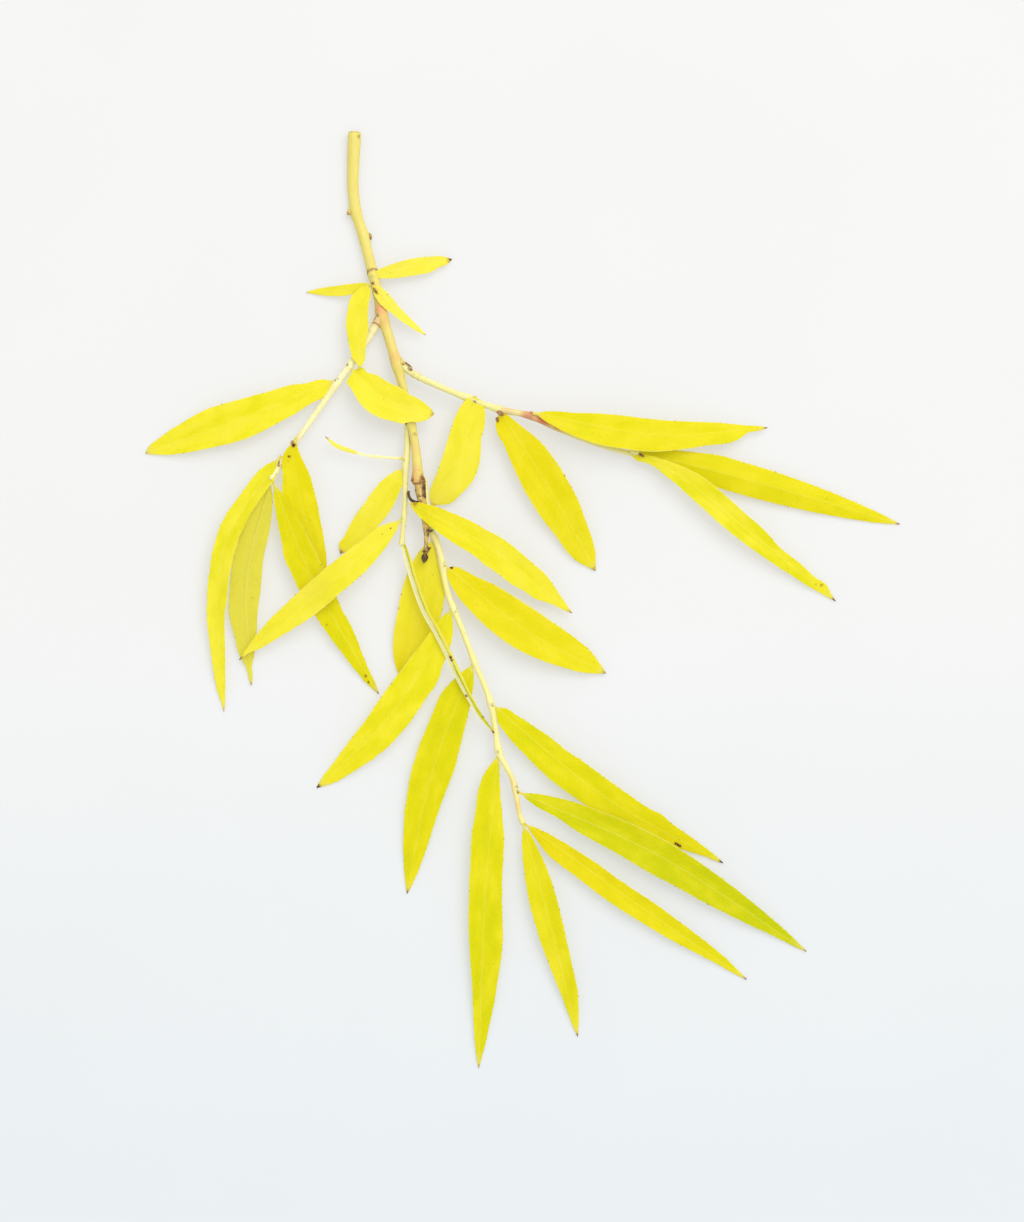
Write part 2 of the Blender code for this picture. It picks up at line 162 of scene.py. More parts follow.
def add_bud(growth, spot, outward, length, radius, flat, brown, blush, tip=0.5):
    """A bud or, where flat is small, a bud scale: an egg shape drawn out to a point."""
    outward = Vector(outward).normalized()
    across = outward.cross(UP).normalized()
    above = across.cross(outward)
    spot = Vector(spot)
    rings = []
    for ring in range(BUD_RINGS + 1):
        u = 0.03 + 0.94 * ring / BUD_RINGS
        girth = math.sin(math.pi * u ** BUD_FULLEST) ** BUD_BLUNTNESS
        centre = spot + outward * length * (u - 0.5) + above * BUD_LIFT * radius * u * u
        row = []
        for side in range(BUD_SIDES):
            angle = math.tau * side / BUD_SIDES
            keel = 1.0 + BUD_KEEL * max(0.0, math.sin(angle)) ** 4
            around = math.cos(angle) * across + math.sin(angle) * above * flat
            place = centre + around * radius * girth * keel
            tone = (blush * (1 - u), min(1.0, brown + tip * max(0.0, u - 0.5) * 2), 0.0)
            row.append(growth.corner(place, (place.x, place.y, place.z * 2), tone))
        rings.append(row)
    growth.band(rings)
    for row, u in ((rings[0], 0.0), (rings[-1], 1.0)):
        place = spot + outward * length * (u - 0.5) + above * BUD_LIFT * radius * u * u
        growth.cap(row, place, (place.x, place.y, place.z * 2), (0.0, min(1.0, brown + tip * u), 0.0))


def add_stem(growth, path, swellings=(), scars=(), stains=(), blushes=(), wrinkle=0.035, collar=0.0,
             withered=0.0, ends=(), buds=()):
    """A tapering stem: swollen below its buds, ringed by scars, stained and flushed where the real one is.

    swellings: spot, reach, height. scars: spot, lean, height, darkness, and an unusual width.
    stains and blushes: spot, reach, strength. ends, first and last: bulge, wood, brown, wear.
    buds: spot, way it points, length, radius, flatness, brown, blush, and more brown at its tip.
    """
    rows = smooth_path(path, RING_STEP)
    travelled = lengths_along(rows)
    pith = [Vector(row[:3]) for row in rows]
    ridges = []
    for spot, lean, height, darkness, *width in scars:
        index = min(range(len(pith)), key=lambda k: (pith[k] - Vector(spot)).length)
        ridges.append((travelled[index], lean, height, darkness, width[0] if width else RIDGE_WIDTH))
    rings = []
    for index, row in enumerate(rows):
        along, across, above = frame_at(rows, index)
        ring = []
        for side in range(STEM_SIDES):
            angle = math.tau * side / STEM_SIDES
            around = math.cos(angle) * across + math.sin(angle) * above
            radius = row[3] * (1 + collar * near(travelled[index], COLLAR_REACH))
            bark = pith[index] + around * radius
            for spot, reach, height in swellings:
                radius += height * near((bark - Vector(spot)).length, reach)
            pattern = Vector((around.dot(across) * row[3], around.dot(above) * row[3], travelled[index]))
            grain = Vector((pattern.x / WRINKLE_WIDTH, pattern.y / WRINKLE_WIDTH, pattern.z / WRINKLE_LENGTH))
            rough = noise.noise(grain) + 0.5 * noise.noise(grain * WRINKLE_DETAIL)
            radius += wrinkle * rough
            brown = withered * (0.55 + 0.6 * rough)
            for place, lean, height, darkness, width in ridges:
                beside = travelled[index] - place + lean * math.sin(angle)
                radius += height * near(beside, width)
                brown = max(brown, darkness * near(beside, width) * (0.75 + 0.5 * rough))
            for spot, reach, strength in stains:
                brown = max(brown, strength * near((bark - Vector(spot)).length, reach))
            blush = 0.0
            for spot, reach, strength in blushes:
                blush = max(blush, strength * near((bark - Vector(spot)).length, reach))
            place = pith[index] + around * radius
            place.z = max(place.z, 0.0)
            ring.append(growth.corner(place, pattern, (blush, min(max(brown, 0.0), 1.0), 0.0)))
        rings.append(ring)
    growth.band(rings)
    for last, end in enumerate(ends):
        add_end(growth, rows, rings, last, *end)
    for bud in buds:
        add_bud(growth, *bud)


def add_end(growth, rows, rings, last, bulge, wood, brown, worn=1.0):
    """Close an end: a rounded rim of bark, and inside it wood or a blunt tip. worn rounds it wider."""
    index = len(rows) - 1 if last else 0
    along, _, _ = frame_at(rows, index)
    outward = along if last else -along
    centre = Vector(rows[index][:3])
    previous = rings[index]
    for shrink, rise in END_RINGS:
        inner = []
        for corner in rings[index]:
            spot = centre + (growth.spots[corner] - centre) * shrink ** worn
            inner.append((spot + outward * bulge * rise, growth.patterns[corner]))
        tone = (0.0, brown * (1.0 if shrink > BARK_RIM else 0.3), wood if shrink < BARK_RIM else 0.0)
        following = [growth.corner(spot, pattern, tone) for spot, pattern in inner]
        growth.band([previous, following])
        previous = following
    growth.cap(previous, centre + outward * bulge, (0.0, 0.0, 0.0), (0.0, brown * 0.5, wood))


def grow_stem(node, path, slot, surface, **skin):
    """A stem or shoot that is a piece of its own, with its skin, ends and buds as add_stem takes them."""
    stem = Growth()
    add_stem(stem, path, **skin)
    stem.finish(node, surface)


def linear(colour):
    """An sRGB hex colour as the linear one that Blender's sockets take."""
    channels = [int(colour[first:first + 2], 16) / 255 for first in (0, 2, 4)]
    return (*[c / 12.92 if c <= 0.04045 else ((c + 0.055) / 1.055) ** 2.4 for c in channels], 1.0)


def wire(node, inputs):
    """Set a node's inputs, in a row from its first or by name or number.

    Each takes a value, a colour in hex, a socket, or a node for its first output in use.
    """
    for socket, value in inputs.items() if isinstance(inputs, dict) else enumerate(inputs):
        if isinstance(value, bpy.types.Node):
            value = next(output for output in value.outputs if output.enabled)
        if isinstance(value, bpy.types.NodeSocket):
            node.id_data.links.new(value, node.inputs[socket])
        else:
            node.inputs[socket].default_value = linear(value) if isinstance(value, str) else value


def add(tree, kind, inputs=(), stops=(), **settings):
    """Add a node with its settings, the stops of its colour ramp and its inputs."""
    node = tree.nodes.new("ShaderNode" + kind)
    for setting, value in settings.items():
        setattr(node, setting, value)
    for number, (place, colour) in enumerate(stops):
        ramp = node.color_ramp.elements
        stop = ramp[number] if number < 2 else ramp.new(place)
        stop.position = place
        stop.color = linear(colour)
    wire(node, inputs)
    return node


def new_surface(name):
    """A new material, its node tree and its shader."""
    surface = bpy.data.materials.new(name)
    surface.use_nodes = True
    return surface, surface.node_tree, surface.node_tree.nodes["Principled BSDF"]


def willow_bark(name, base, streak, flush, roughness=0.5, cork=("3f2611", "7d4e26", "b98a4e"), glow=0.55):
    """Smooth young willow bark: a thin waxy skin over green-yellow tissue, streaked along the twig.

    flush: where the sun reddened it. cork: its scars and scales, dark to light.
    glow: how much light sinks into it.
    """
    surface, tree, shader = new_surface(name)
    place = add(tree, "Attribute", attribute_name="pattern_mm").outputs["Vector"]
    tone = add(tree, "Attribute", attribute_name="tone").outputs["Vector"]
    parts = add(tree, "SeparateXYZ", [tone])
    # Streaks 0.6 mm wide and 8 mm long
    drawn = add(tree, "Mapping", {0: place, 3: (1 / 0.6, 1 / 0.6, 1 / 8)})
    streaks = add(tree, "TexNoise", {"Vector": drawn, "Scale": 1.0, "Detail": 3.0})
    streaked = add(tree, "ValToRGB", [streaks], stops=[(0.3, base), (0.75, streak)])
    # Clouds of flush 5 mm across, and where the twig is flushed
    clouds = add(tree, "TexNoise", {"Vector": place, "Scale": 0.2, "Detail": 2.0})
    cloudy = add(tree, "MapRange", [clouds, 0.3, 0.7, -0.25, 0.25])
    flushed = add(tree, "Math", [parts.outputs[0], cloudy], operation="ADD")
    flushed = add(tree, "Math", [flushed, parts.outputs[0]], operation="MULTIPLY", use_clamp=True)
    # Lenticels: pale corky dots 0.4 mm across and about 2 mm apart
    dots = add(tree, "TexVoronoi", {"Vector": place, "Scale": 0.55})
    dotted = add(tree, "MapRange", [dots, 0.05, 0.18, 0.3, 0.0])
    # Wood shows at the cut: pale, with fine rays 0.3 mm apart
    grain = add(tree, "TexNoise", {"Vector": place, "Scale": 3.3, "Detail": 2.0})
    wood = add(tree, "ValToRGB", [grain], stops=[(0.35, "d8cda6"), (0.7, "bfab78")])
    # Corky brown on scars and scales, broken up into crumbs 0.4 mm across
    crumbs = add(tree, "TexNoise", {"Vector": place, "Scale": 2.5, "Detail": 4.0})
    crust = add(tree, "ValToRGB", [crumbs], stops=[(0.3, cork[0]), (0.5, cork[1]), (0.72, cork[2])])
    crumbled = add(tree, "MapRange", [crumbs, 0.3, 0.7, -0.3, 0.3])
    corky = add(tree, "Math", [parts.outputs[1], crumbled], operation="ADD")
    corky = add(tree, "MapRange", [corky, 0.2, 0.75, 0.0, 1.0])
    coloured = streaked
    for share, shade in ((flushed, flush), (dotted, "ab8d56"), (parts.outputs[2], wood), (corky, crust)):
        coloured = add(tree, "Mix", {0: share, 6: coloured, 7: shade}, data_type="RGBA")
    dull = add(tree, "MapRange", {0: corky, 3: roughness, 4: 0.85})
    # Wax wrinkles along the twig, deeper in the cork
    relief = add(tree, "Math", [streaks, crumbs], operation="ADD")
    bump = add(tree, "Bump", {"Strength": 0.35, "Distance": 0.08 * MM, "Height": relief})
    wire(shader, {"Base Color": coloured, "Roughness": dull, "Normal": bump, "Subsurface Weight": glow,
                  "Subsurface Radius": (1.0, 0.75, 0.25), "Subsurface Scale": 0.8 * MM})
    return surface


# Straw yellow, flushed orange beside its buds
straw_bark = willow_bark("straw_willow_bark", "d6ca6c", "d0be58", "d69d62")

grow_stem(
    "main_stem", main_stem_path, "straw_bark", straw_bark,
    swellings=[
        ((-61.8, 139.6, 2.2), 2.6, 0.5), ((-55.6, 131.2, 2.4), 2.4, 0.45), ((-53.9, 117.2, 4), 2.8, 0.45),
        ((-52.4, 111.4, 4.3), 2.2, 0.3), ((-51.4, 102.2, 4.2), 3.2, 0.7), ((-44.2, 85, 5.2), 3.4, 0.8),
        ((-41.4, 63.4, 5.8), 2.4, 0.6), ((-39.4, 43.2, 6.4), 1.6, 0.7), ((-35.2, 42.4, 6.9), 1.4, 0.4),
    ],
    scars=[
        ((-60.2, 147.2, 2), 0.3, 0.05, 0.35), ((-54.2, 117.3, 2.6), 1.5, 0.2, 0.95, 0.6),
        ((-52.9, 113.4, 2.9), 0.6, 0.12, 0.25, 0.5), ((-50.8, 103.9, 3.4), 0.5, 0.08, 0.35),
        ((-46.2, 87, 4.3), 0.3, 0.06, 0.25), ((-37.2, 42.6, 6.5), -0.7, 0.12, 0.9, 0.5),
        ((-37.6, 45.6, 6.4), 0.8, 0.06, 0.4),
    ],
    stains=[
        ((-63.1, 158.6, 2.4), 0.55, 0.7), ((-58.9, 166.6, 4.2), 0.8, 0.75), ((-54.6, 130.7, 3), 0.9, 0.8),
        ((-55.4, 118.3, 3.6), 0.7, 0.8), ((-53.9, 113.6, 4.6), 0.75, 0.95), ((-52.6, 110.6, 4.7), 0.7, 0.6),
        ((-52.9, 97.6, 4.2), 0.5, 0.5), ((-42.8, 73.4, 5.6), 0.7, 0.7), ((-38.7, 59.4, 7.2), 0.9, 0.6),
        ((-39.8, 44.5, 7.4), 1.1, 0.55), ((-35.6, 43.4, 8), 1.8, 1), ((-36.6, 42, 8.6), 1.2, 0.9),
    ],
    blushes=[
        ((-52.2, 108.5, 4.6), 3.6, 0.65), ((-51.4, 104.5, 5), 4.2, 1), ((-49.6, 100, 5), 4, 0.65),
        ((-47.9, 93, 5.5), 6, 0.45), ((-46.4, 88, 6), 4, 0.7), ((-44, 81, 5), 7, 0.35),
        ((-39.6, 54, 7), 6, 0.5), ((-39.6, 46.5, 7), 4.5, 0.75), ((-39.4, 43, 7), 3, 1.1),
    ],
    ends=[(1.1, 0.8, 0.35, 1.7), (0.5, 0, 0.8)],
    buds=[
        ((-62.3, 139.4, 2.6), (-0.75, -0.6, 0.3), 2.6, 1.2, 0.9, 0.35, 0.6, 0.3),
        ((-55, 130.8, 2.6), (0.35, -0.93, 0.25), 3, 0.85, 0.7, 0.5, 0.3),
        ((-54, 116.4, 4.2), (0.25, -0.8, 0.5), 2, 0.9, 0.6, 0.1, 0.2, 0.1),
        ((-53.9, 113.7, 4.9), (0.3, -0.8, 0.5), 1.3, 0.5, 0.6, 0.95, 0),
        ((-52.9, 111, 5.7), (0.6, -0.78, 0), 3.2, 0.5, 0.7, 0.75, 0),
        ((-51.6, 102.9, 4.8), (-0.45, -0.8, 0.4), 3.4, 1, 0.7, 0.25, 0.9),
        ((-52.6, 101.6, 4.8), (-0.5, -0.85, 0.1), 3, 0.4, 0.5, 0.85, 0),
        ((-43.5, 85.4, 5.6), (0.62, -0.7, 0.4), 3.6, 1.15, 0.8, 0.2, 0.7),
        ((-40.9, 84.3, 6.3), (0.8, -0.6, 0.1), 3.6, 0.35, 0.5, 0.9, 0),
        ((-41.4, 63.7, 6.3), (-0.7, -0.6, 0.3), 2.6, 0.8, 0.7, 0.7, 0.3),
        ((-39, 43.4, 7.4), (-0.7, -0.62, 0.35), 3.2, 1, 0.6, 0.5, 0.7),
        ((-35.6, 42.4, 8), (0.3, 0.9, 0.2), 3, 0.8, 0.7, 0.85, 0),
    ],
)

# Withered tip: the dead end of the main stem, shrunk, wrinkled and brown, straw-coloured only just below the
# tear. A thin dead stalk hooks up beside it, two bud stumps stand out, and it ends in a dark crumpled bud.
withered_path = [
    (-36.8, 42.6, 6.5, 1.9), (-36.7, 40, 6.55, 1.85), (-36.5, 37.6, 6.6, 1.7), (-35.8, 33.3, 6.8, 1.35),
    (-35.1, 28.6, 7, 1.1), (-34.6, 23.2, 7.1, 0.85), (-34.7, 18.5, 7.2, 0.75), (-35.1, 15, 7.2, 0.75),
]
hook_path = [
    (-36.9, 34.7, 6.9, 0.75), (-38.7, 35, 7.1, 0.62), (-40.2, 36, 7.3, 0.55), (-40.8, 37.3, 7.4, 0.5),
    (-40.9, 38.8, 7.4, 0.45),
]
# Dry bark, light only in its upper part, under a dark crust
withered_bark = willow_bark(
    "withered_willow_bark", "dcbf6c", "bd9444", "a8783a",
    roughness=0.7, cork=("120a05", "3c2511", "916a35"), glow=0.05,
)
# Its right side is dark all the way down
dark_side = [((x + radius, y, z + 0.6 * radius), 0.9 * radius, 1.2) for x, y, z, radius in withered_path[1:7]]

withered_tip = Growth()
add_stem(
    withered_tip, withered_path,
    swellings=[
        ((-34.6, 33, 7.2), 1.6, 0.3), ((-33.9, 25, 7.2), 1.2, 0.35), ((-34.4, 18.2, 7.2), 1, 0.3),
    ],
    scars=[
        ((-36.7, 41, 6.5), 0.5, 0.1, 0.9), ((-36.6, 39.2, 6.6), -0.3, 0.08, 0.8),
        ((-36.2, 36.8, 6.7), 0.4, 0.1, 0.9), ((-35.2, 29.4, 7), -0.3, 0.1, 0.7),
        ((-34.6, 22, 7.1), 0.3, 0.08, 0.7), ((-34.6, 17.4, 7.2), 0, 0.22, 1),
    ],
    stains=[
        *dark_side, ((-35.4, 29, 8), 3, 0.5), ((-34.8, 24, 8), 3.2, 0.5),
        ((-34.8, 19, 8), 3.2, 0.5), ((-36.6, 35.2, 8.2), 0.9, 0.6), ((-36.9, 33.6, 7), 1.2, 1),
        ((-34.4, 30, 7.4), 1.2, 0.95), ((-34.2, 24.8, 7.4), 1, 1), ((-34.8, 15.4, 7.2), 2.2, 1),
    ],
    wrinkle=0.22, withered=0.5, ends=[(0.2, 0, 0.8), (0.5, 0, 1)],
    buds=[
        ((-33.2, 24.6, 7.2), (0.85, 0.3, 0.1), 2.6, 0.55, 0.8, 0.75, 0),
        ((-33.5, 18.3, 7.3), (0.8, 0.5, 0.3), 1.8, 0.45, 0.7, 0.7, 0),
        ((-35.2, 14.7, 7.2), (-0.2, -1, 0), 3.8, 1.25, 0.8, 0.95, 0, -0.4),
        ((-34.3, 17.2, 7.6), (0.9, 0.5, 0), 2.2, 0.35, 0.6, 0.9, 0),
        ((-35.4, 17.2, 7.6), (-0.9, 0.4, 0), 1.8, 0.35, 0.6, 0.9, 0),
    ],
)
add_stem(withered_tip, hook_path, wrinkle=0.1, withered=2.2, ends=[(0.1, 0, 1), (0.25, 0, 1)])
withered_tip.finish("withered_tip", withered_bark)

# Side shoots: thinner and paler than the main stem, of the same year's growth, each rising from a collar of
# brown bud scales. Every leaf leaves a knee in them, with a bud in its angle.
left_shoot_path = [
    (-50.9, 102.2, 3.6, 1.4), (-51.6, 101, 3.7, 1.55), (-55.6, 94.1, 3.9, 1.4), (-61.7, 84.8, 4.5, 1.25),
    (-68.6, 75.1, 4.9, 1.15), (-78.7, 60.7, 5.4, 1.05), (-84.1, 53.1, 5.6, 1), (-90.2, 43.4, 5.8, 0.9),
]
middle_shoot_path = [
    (-41.2, 65.2, 4.6, 0.95), (-41.4, 63, 4.3, 1), (-41.4, 57.5, 4.2, 1.15), (-41.4, 54.9, 4.6, 1.1),
    (-41.9, 49.5, 5, 1.05), (-42.1, 43, 5.4, 1), (-42.3, 35.1, 5.8, 0.95), (-42.8, 27.2, 6.1, 0.9),
    (-43.4, 20.3, 6.3, 0.8),
]
right_shoot_path = [
    (-44.8, 85, 4.6, 1.15), (-43, 84, 4.7, 1.25), (-39.5, 81.3, 4.9, 1.25), (-33.5, 78.2, 5.3, 1.15),
    (-22.1, 73.3, 5.8, 1.1), (-9.2, 68.6, 5.9, 1.15), (2.7, 66, 5.6, 1.1), (13.3, 61.1, 5.1, 0.95),
    (27.5, 55.7, 4.5, 0.95), (42, 51.7, 3.9, 0.9),
]
lower_shoot_path = [
    (-36.4, 43.6, 5.2, 1.2), (-35.6, 41.5, 4.4, 1.3), (-34.6, 33, 3.7, 1.3), (-33, 25, 4.2, 1.25),
    (-31, 20.9, 4.5, 1.2), (-29, 13.1, 4.8, 1.15), (-28, 7, 5, 1.1), (-26.1, 0, 5.1, 1.05),
    (-21.5, -11.4, 5.2, 1.05), (-17.2, -22.8, 5, 1), (-11.9, -35.8, 4.9, 1.05), (-9.9, -46.3, 4.75, 1.05),
    (-8.6, -54.6, 4.65, 1.1), (-5.9, -60.2, 4.5, 1), (-3.1, -66.2, 4.4, 1), (-1.2, -76.8, 4, 0.9),
    (0, -80.1, 3.8, 0.9),
]
# Paler bark that grew in the shade of leaves, flushed salmon, brick red or orange at its knees
blanched_bark = willow_bark("blanched_willow_bark", "e4deae", "dcd290", "cf8f68")
pale_bark = willow_bark("pale_willow_bark", "dcd694", "d4ca7a", "bd6a48")
lower_bark = willow_bark("flecked_straw_willow_bark", "e2da98", "d9ce78", "cf9c64")

grow_stem(
    "left_shoot", left_shoot_path, "rosy_bark", blanched_bark,
    swellings=[
        ((-62.2, 84.4, 4.8), 2.4, 0.45), ((-67.2, 77.8, 4.9), 2.4, 0.45), ((-82.6, 55.8, 5.7), 2, 0.35),
        ((-87.2, 49, 5.8), 2, 0.35), ((-90.2, 43.8, 5.8), 1.6, 0.4),
    ],
    scars=[
        ((-53, 98.8, 3.8), 0.5, 0.08, 0.9, 0.4), ((-54.4, 96.2, 3.9), 0.2, 0.06, 0.5),
        ((-63, 83.2, 4.6), 0.4, 0.06, 0.45), ((-68.4, 75.4, 4.9), 0.3, 0.05, 0.3),
        ((-84, 53.2, 5.6), 0.3, 0.05, 0.3),
    ],
    stains=[
        ((-66.2, 79.4, 5.8), 0.5, 0.6), ((-82.4, 56.2, 6.4), 0.7, 0.85), ((-87.6, 48.2, 6.6), 0.7, 0.8),
        ((-57.2, 93.2, 4.8), 0.4, 0.6),
    ],
    blushes=[((-52, 100.4, 4.6), 3, 0.8), ((-81, 58, 6), 4, 0.3)],
    collar=0.25, ends=[(0.1, 0, 0), (0.8, 0, 0.5)],
    buds=[
        ((-52.6, 100, 4.4), (-0.75, -0.65, 0.2), 3.4, 0.4, 0.5, 0.5, 1, 0.2),
        ((-62.6, 84.6, 5.4), (-0.5, -0.6, 0.6), 2.4, 0.75, 0.7, 0.15, 0.4, 0.8),
        ((-66.9, 79, 5.4), (-0.6, -0.4, 0.5), 2, 0.7, 0.7, 0.15, 0.4, 0.8),
        ((-82.7, 56.4, 6.3), (0.1, -0.8, 0.6), 2.2, 0.7, 0.7, 0.55, 0.4),
        ((-87.3, 49.3, 6.3), (-0.5, -0.6, 0.6), 2, 0.65, 0.7, 0.55, 0.4),
        ((-91, 42.4, 6), (-0.5, -0.8, 0.2), 2.6, 0.6, 0.8, 0.25, 0.3),
    ],
)

grow_stem(
    "middle_shoot", middle_shoot_path, "rosy_bark", pale_bark,
    swellings=[
        ((-41.8, 50.4, 5.2), 2, 0.4), ((-42.3, 47.6, 5.2), 2, 0.35), ((-42.9, 29.2, 6.2), 2, 0.35),
        ((-43.4, 20.4, 6.4), 1.6, 0.4),
    ],
    scars=[
        ((-41.4, 59, 4.2), 0.2, 0.06, 0.3), ((-41.9, 49, 5), 0.4, 0.05, 0.25),
        ((-42.1, 42.6, 5.4), 0.1, 0.03, 0.2), ((-42.5, 31.8, 5.9), 0.2, 0.04, 0.2),
    ],
    stains=[((-42.7, 50.4, 6.2), 0.5, 0.55), ((-42.1, 26.4, 7), 0.5, 0.55)],
    collar=0.25, ends=[(0.1, 0, 0), (0.8, 0, 0.1)],
    buds=[
        ((-42.3, 50.2, 5.8), (-0.7, -0.2, 0.5), 2, 0.65, 0.7, 0.1, 0.3),
        ((-43.1, 29.4, 6.7), (-0.4, -0.7, 0.6), 2, 0.6, 0.7, 0.1, 0.2),
    ],
)

grow_stem(
    "right_shoot", right_shoot_path, "rosy_bark", pale_bark,
    swellings=[
        ((-20.4, 73.4, 5.8), 2.4, 0.35), ((-17.4, 72.4, 6), 2.2, 0.35), ((-8.8, 68.6, 5.9), 2.4, 0.4),
        ((3.4, 66.4, 5.7), 2.4, 0.4), ((42, 52.8, 3.9), 1.8, 0.4),
    ],
    scars=[
        ((-38.4, 81.4, 5), 0.4, 0.08, 0.6), ((-36.6, 80.4, 5.1), 0.3, 0.08, 0.55),
        ((-34.8, 79.6, 5.2), 0.3, 0.05, 0.35), ((-22.6, 74.6, 5.8), 0.3, 0.06, 0.35),
        ((-7.4, 68.4, 5.9), 0.2, 0.05, 0.3),
    ],
    stains=[
        ((-30.6, 78.8, 6), 0.35, 0.6), ((-35.2, 78.8, 5), 0.7, 0.6), ((-17.2, 71, 6.9), 0.7, 0.85),
        ((-8.2, 67.2, 6.6), 0.9, 0.95), ((-9.4, 66.6, 6.2), 0.7, 0.9), ((12.6, 62, 5.8), 0.7, 0.4),
        ((15.6, 60.8, 5.4), 0.45, 0.7), ((41, 53.2, 4.8), 0.7, 0.7),
    ],
    blushes=[
        ((-38, 81.4, 5.8), 3, 0.3), ((-4, 68, 6.4), 5, 0.55), ((2.2, 66.6, 6.4), 4.2, 0.95),
        ((7.5, 64.6, 6), 5, 1.05), ((12, 62.8, 5.6), 4, 0.8),
    ],
    collar=0.3, ends=[(0.1, 0, 0), (0.8, 0, 0.2)],
    buds=[
        ((-40.6, 82.9, 6), (0.85, -0.3, 0.4), 3, 0.7, 0.5, 0.55, 0.5),
        ((-17.4, 71.6, 6.5), (0.5, -0.7, 0.5), 2.2, 0.7, 0.7, 0.6, 0.2),
        ((-8, 67, 6.9), (0.75, -0.6, 0.3), 3.6, 0.95, 0.7, 0.6, 1.2),
        ((-9, 64.6, 6), (0.3, -0.9, 0.1), 2.2, 0.6, 0.6, 0.8, 0.3),
        ((3.6, 66.6, 6.1), (0.9, -0.3, 0.2), 3.4, 0.9, 0.7, 0.1, 1.6, 0.2),
        ((40.4, 53, 5), (0.9, -0.3, 0.2), 4.4, 1.1, 0.8, 0, 0.1, 0.1),
        ((42.8, 51.9, 5.8), (0.85, -0.5, 0.1), 2.6, 0.5, 0.7, 0.9, 0),
    ],
)

grow_stem(
    "lower_shoot", lower_shoot_path, "straw_bark", lower_bark,
    swellings=[
        ((-32.6, 22.6, 4.8), 2.6, 0.3), ((-28.4, 12.6, 5), 2.4, 0.4), ((-24.6, -3.4, 5.2), 2.4, 0.4),
        ((-17.4, -22, 5.2), 2.2, 0.35), ((-11.4, -37.2, 5), 2.2, 0.4), ((-8.8, -54.4, 4.8), 2.4, 0.45),
        ((-2.2, -68.4, 4.5), 2.2, 0.4), ((0, -80, 3.9), 1.8, 0.4),
    ],
    scars=[
        ((-31.6, 21.8, 4.4), 0.4, 0.06, 0.3), ((-28.8, 13.8, 4.8), 0.3, 0.06, 0.35),
        ((-24.4, -2.6, 5.1), 0.3, 0.05, 0.25), ((-17.6, -21.4, 5), 0.3, 0.05, 0.25),
        ((-11.6, -36.6, 4.9), 0.3, 0.05, 0.25), ((-8.6, -54, 4.6), 0.3, 0.06, 0.35),
        ((-2.8, -65.8, 4.4), 0.2, 0.05, 0.3),
    ],
    stains=[
        ((-31.2, 18, 5.8), 0.6, 0.5), ((-28.2, 12.8, 6), 0.6, 0.45), ((-20.6, -12.2, 6.2), 0.45, 0.5),
        ((-10.6, -37.6, 6), 0.6, 0.5), ((-2.2, -67.4, 5.2), 0.7, 0.6),
    ],
    blushes=[
        ((-30, 17, 5.6), 6, 0.3), ((-3, -65, 5.2), 6, 0.45), ((-1.4, -74, 4.8), 5, 0.6),
    ],
    collar=0.15, ends=[(0.1, 0, 0), (0.8, 0, 0.2)],
    buds=[
        ((-28, 12.6, 5.8), (0.4, -0.8, 0.5), 2.4, 0.7, 0.7, 0.15, 0.3),
        ((-23.9, -4, 6), (-0.3, -0.8, 0.5), 2.2, 0.65, 0.7, 0.1, 0.3),
        ((-11, -37.7, 5.8), (0.5, -0.8, 0.4), 2.4, 0.65, 0.7, 0.2, 0.3),
        ((-8.8, -54.3, 5.5), (-0.1, -0.9, 0.5), 2.4, 0.75, 0.7, 0.1, 0.2),
        ((-1.9, -69, 5.1), (0.4, -0.8, 0.4), 2.2, 0.65, 0.7, 0.4, 0.5),
    ],
)

# Top leaves: four small lance-shaped leaves round the bud scars, thin, soft and gone autumn yellow. Each
# has a raised pale midrib, side veins that slant forward, a fine saw-toothed rim, and a short stalk.
STALK_WIDTH = 1.0
TIP_WIDTH = 0.3
MIDRIB_STEP = 0.5
LEAF_STEP = 0.45
TOOTH_PITCH = 2.1
TOOTH_LEAN = 0.7
TOOTH_LENGTHS = (0.6, 1.4)
TOOTH_DEPTHS = (0.15, 1.4)
BLADE_THICKNESS = 0.3
RIM_THICKNESS = 0.12
RIB_WIDTH = 0.4
RIB_RISE = 0.12
RIB_DROP = 0.5
CREASE = 0.7
VEIN_PITCH = 2.6
VEIN_SLANT = 1.1
VEIN_RELIEF = 0.012
STALK_HEIGHT = 0.84
TIP_REACH = 1.6
GLANDS = 0.16
GLAND_BROWN = 0.45
WAVE_LENGTHS = (11, 19)
LIGHT_THROUGH = 0.5
# Where the corners lie from the midrib to the rim, as shares of a half
ACROSS = (0.0, 0.04, 0.09, 0.16, 0.26, 0.38, 0.52, 0.67, 0.81, 0.91, 0.97, 1.0)


def blade_outline(t, widest, base, point):
    """Share of the full width at t along a lance-shaped blade. base and point say how full its ends are."""
    if t < widest:
        return math.sin(math.pi / 2 * t / widest) ** base
    return max(0.0, math.cos(math.pi / 2 * (t - widest) / (1 - widest))) ** point


def saw_teeth(draw, length, depth):
    """One side's teeth, uneven as they grew: where each starts and ends, and its depth."""
    teeth = []
    start = 0.0
    while start < length:
        end = start + TOOTH_PITCH * draw.uniform(*TOOTH_LENGTHS)
        teeth.append((start, end, depth * draw.uniform(*TOOTH_DEPTHS), draw.random() < GLANDS))
        start = end
    return teeth


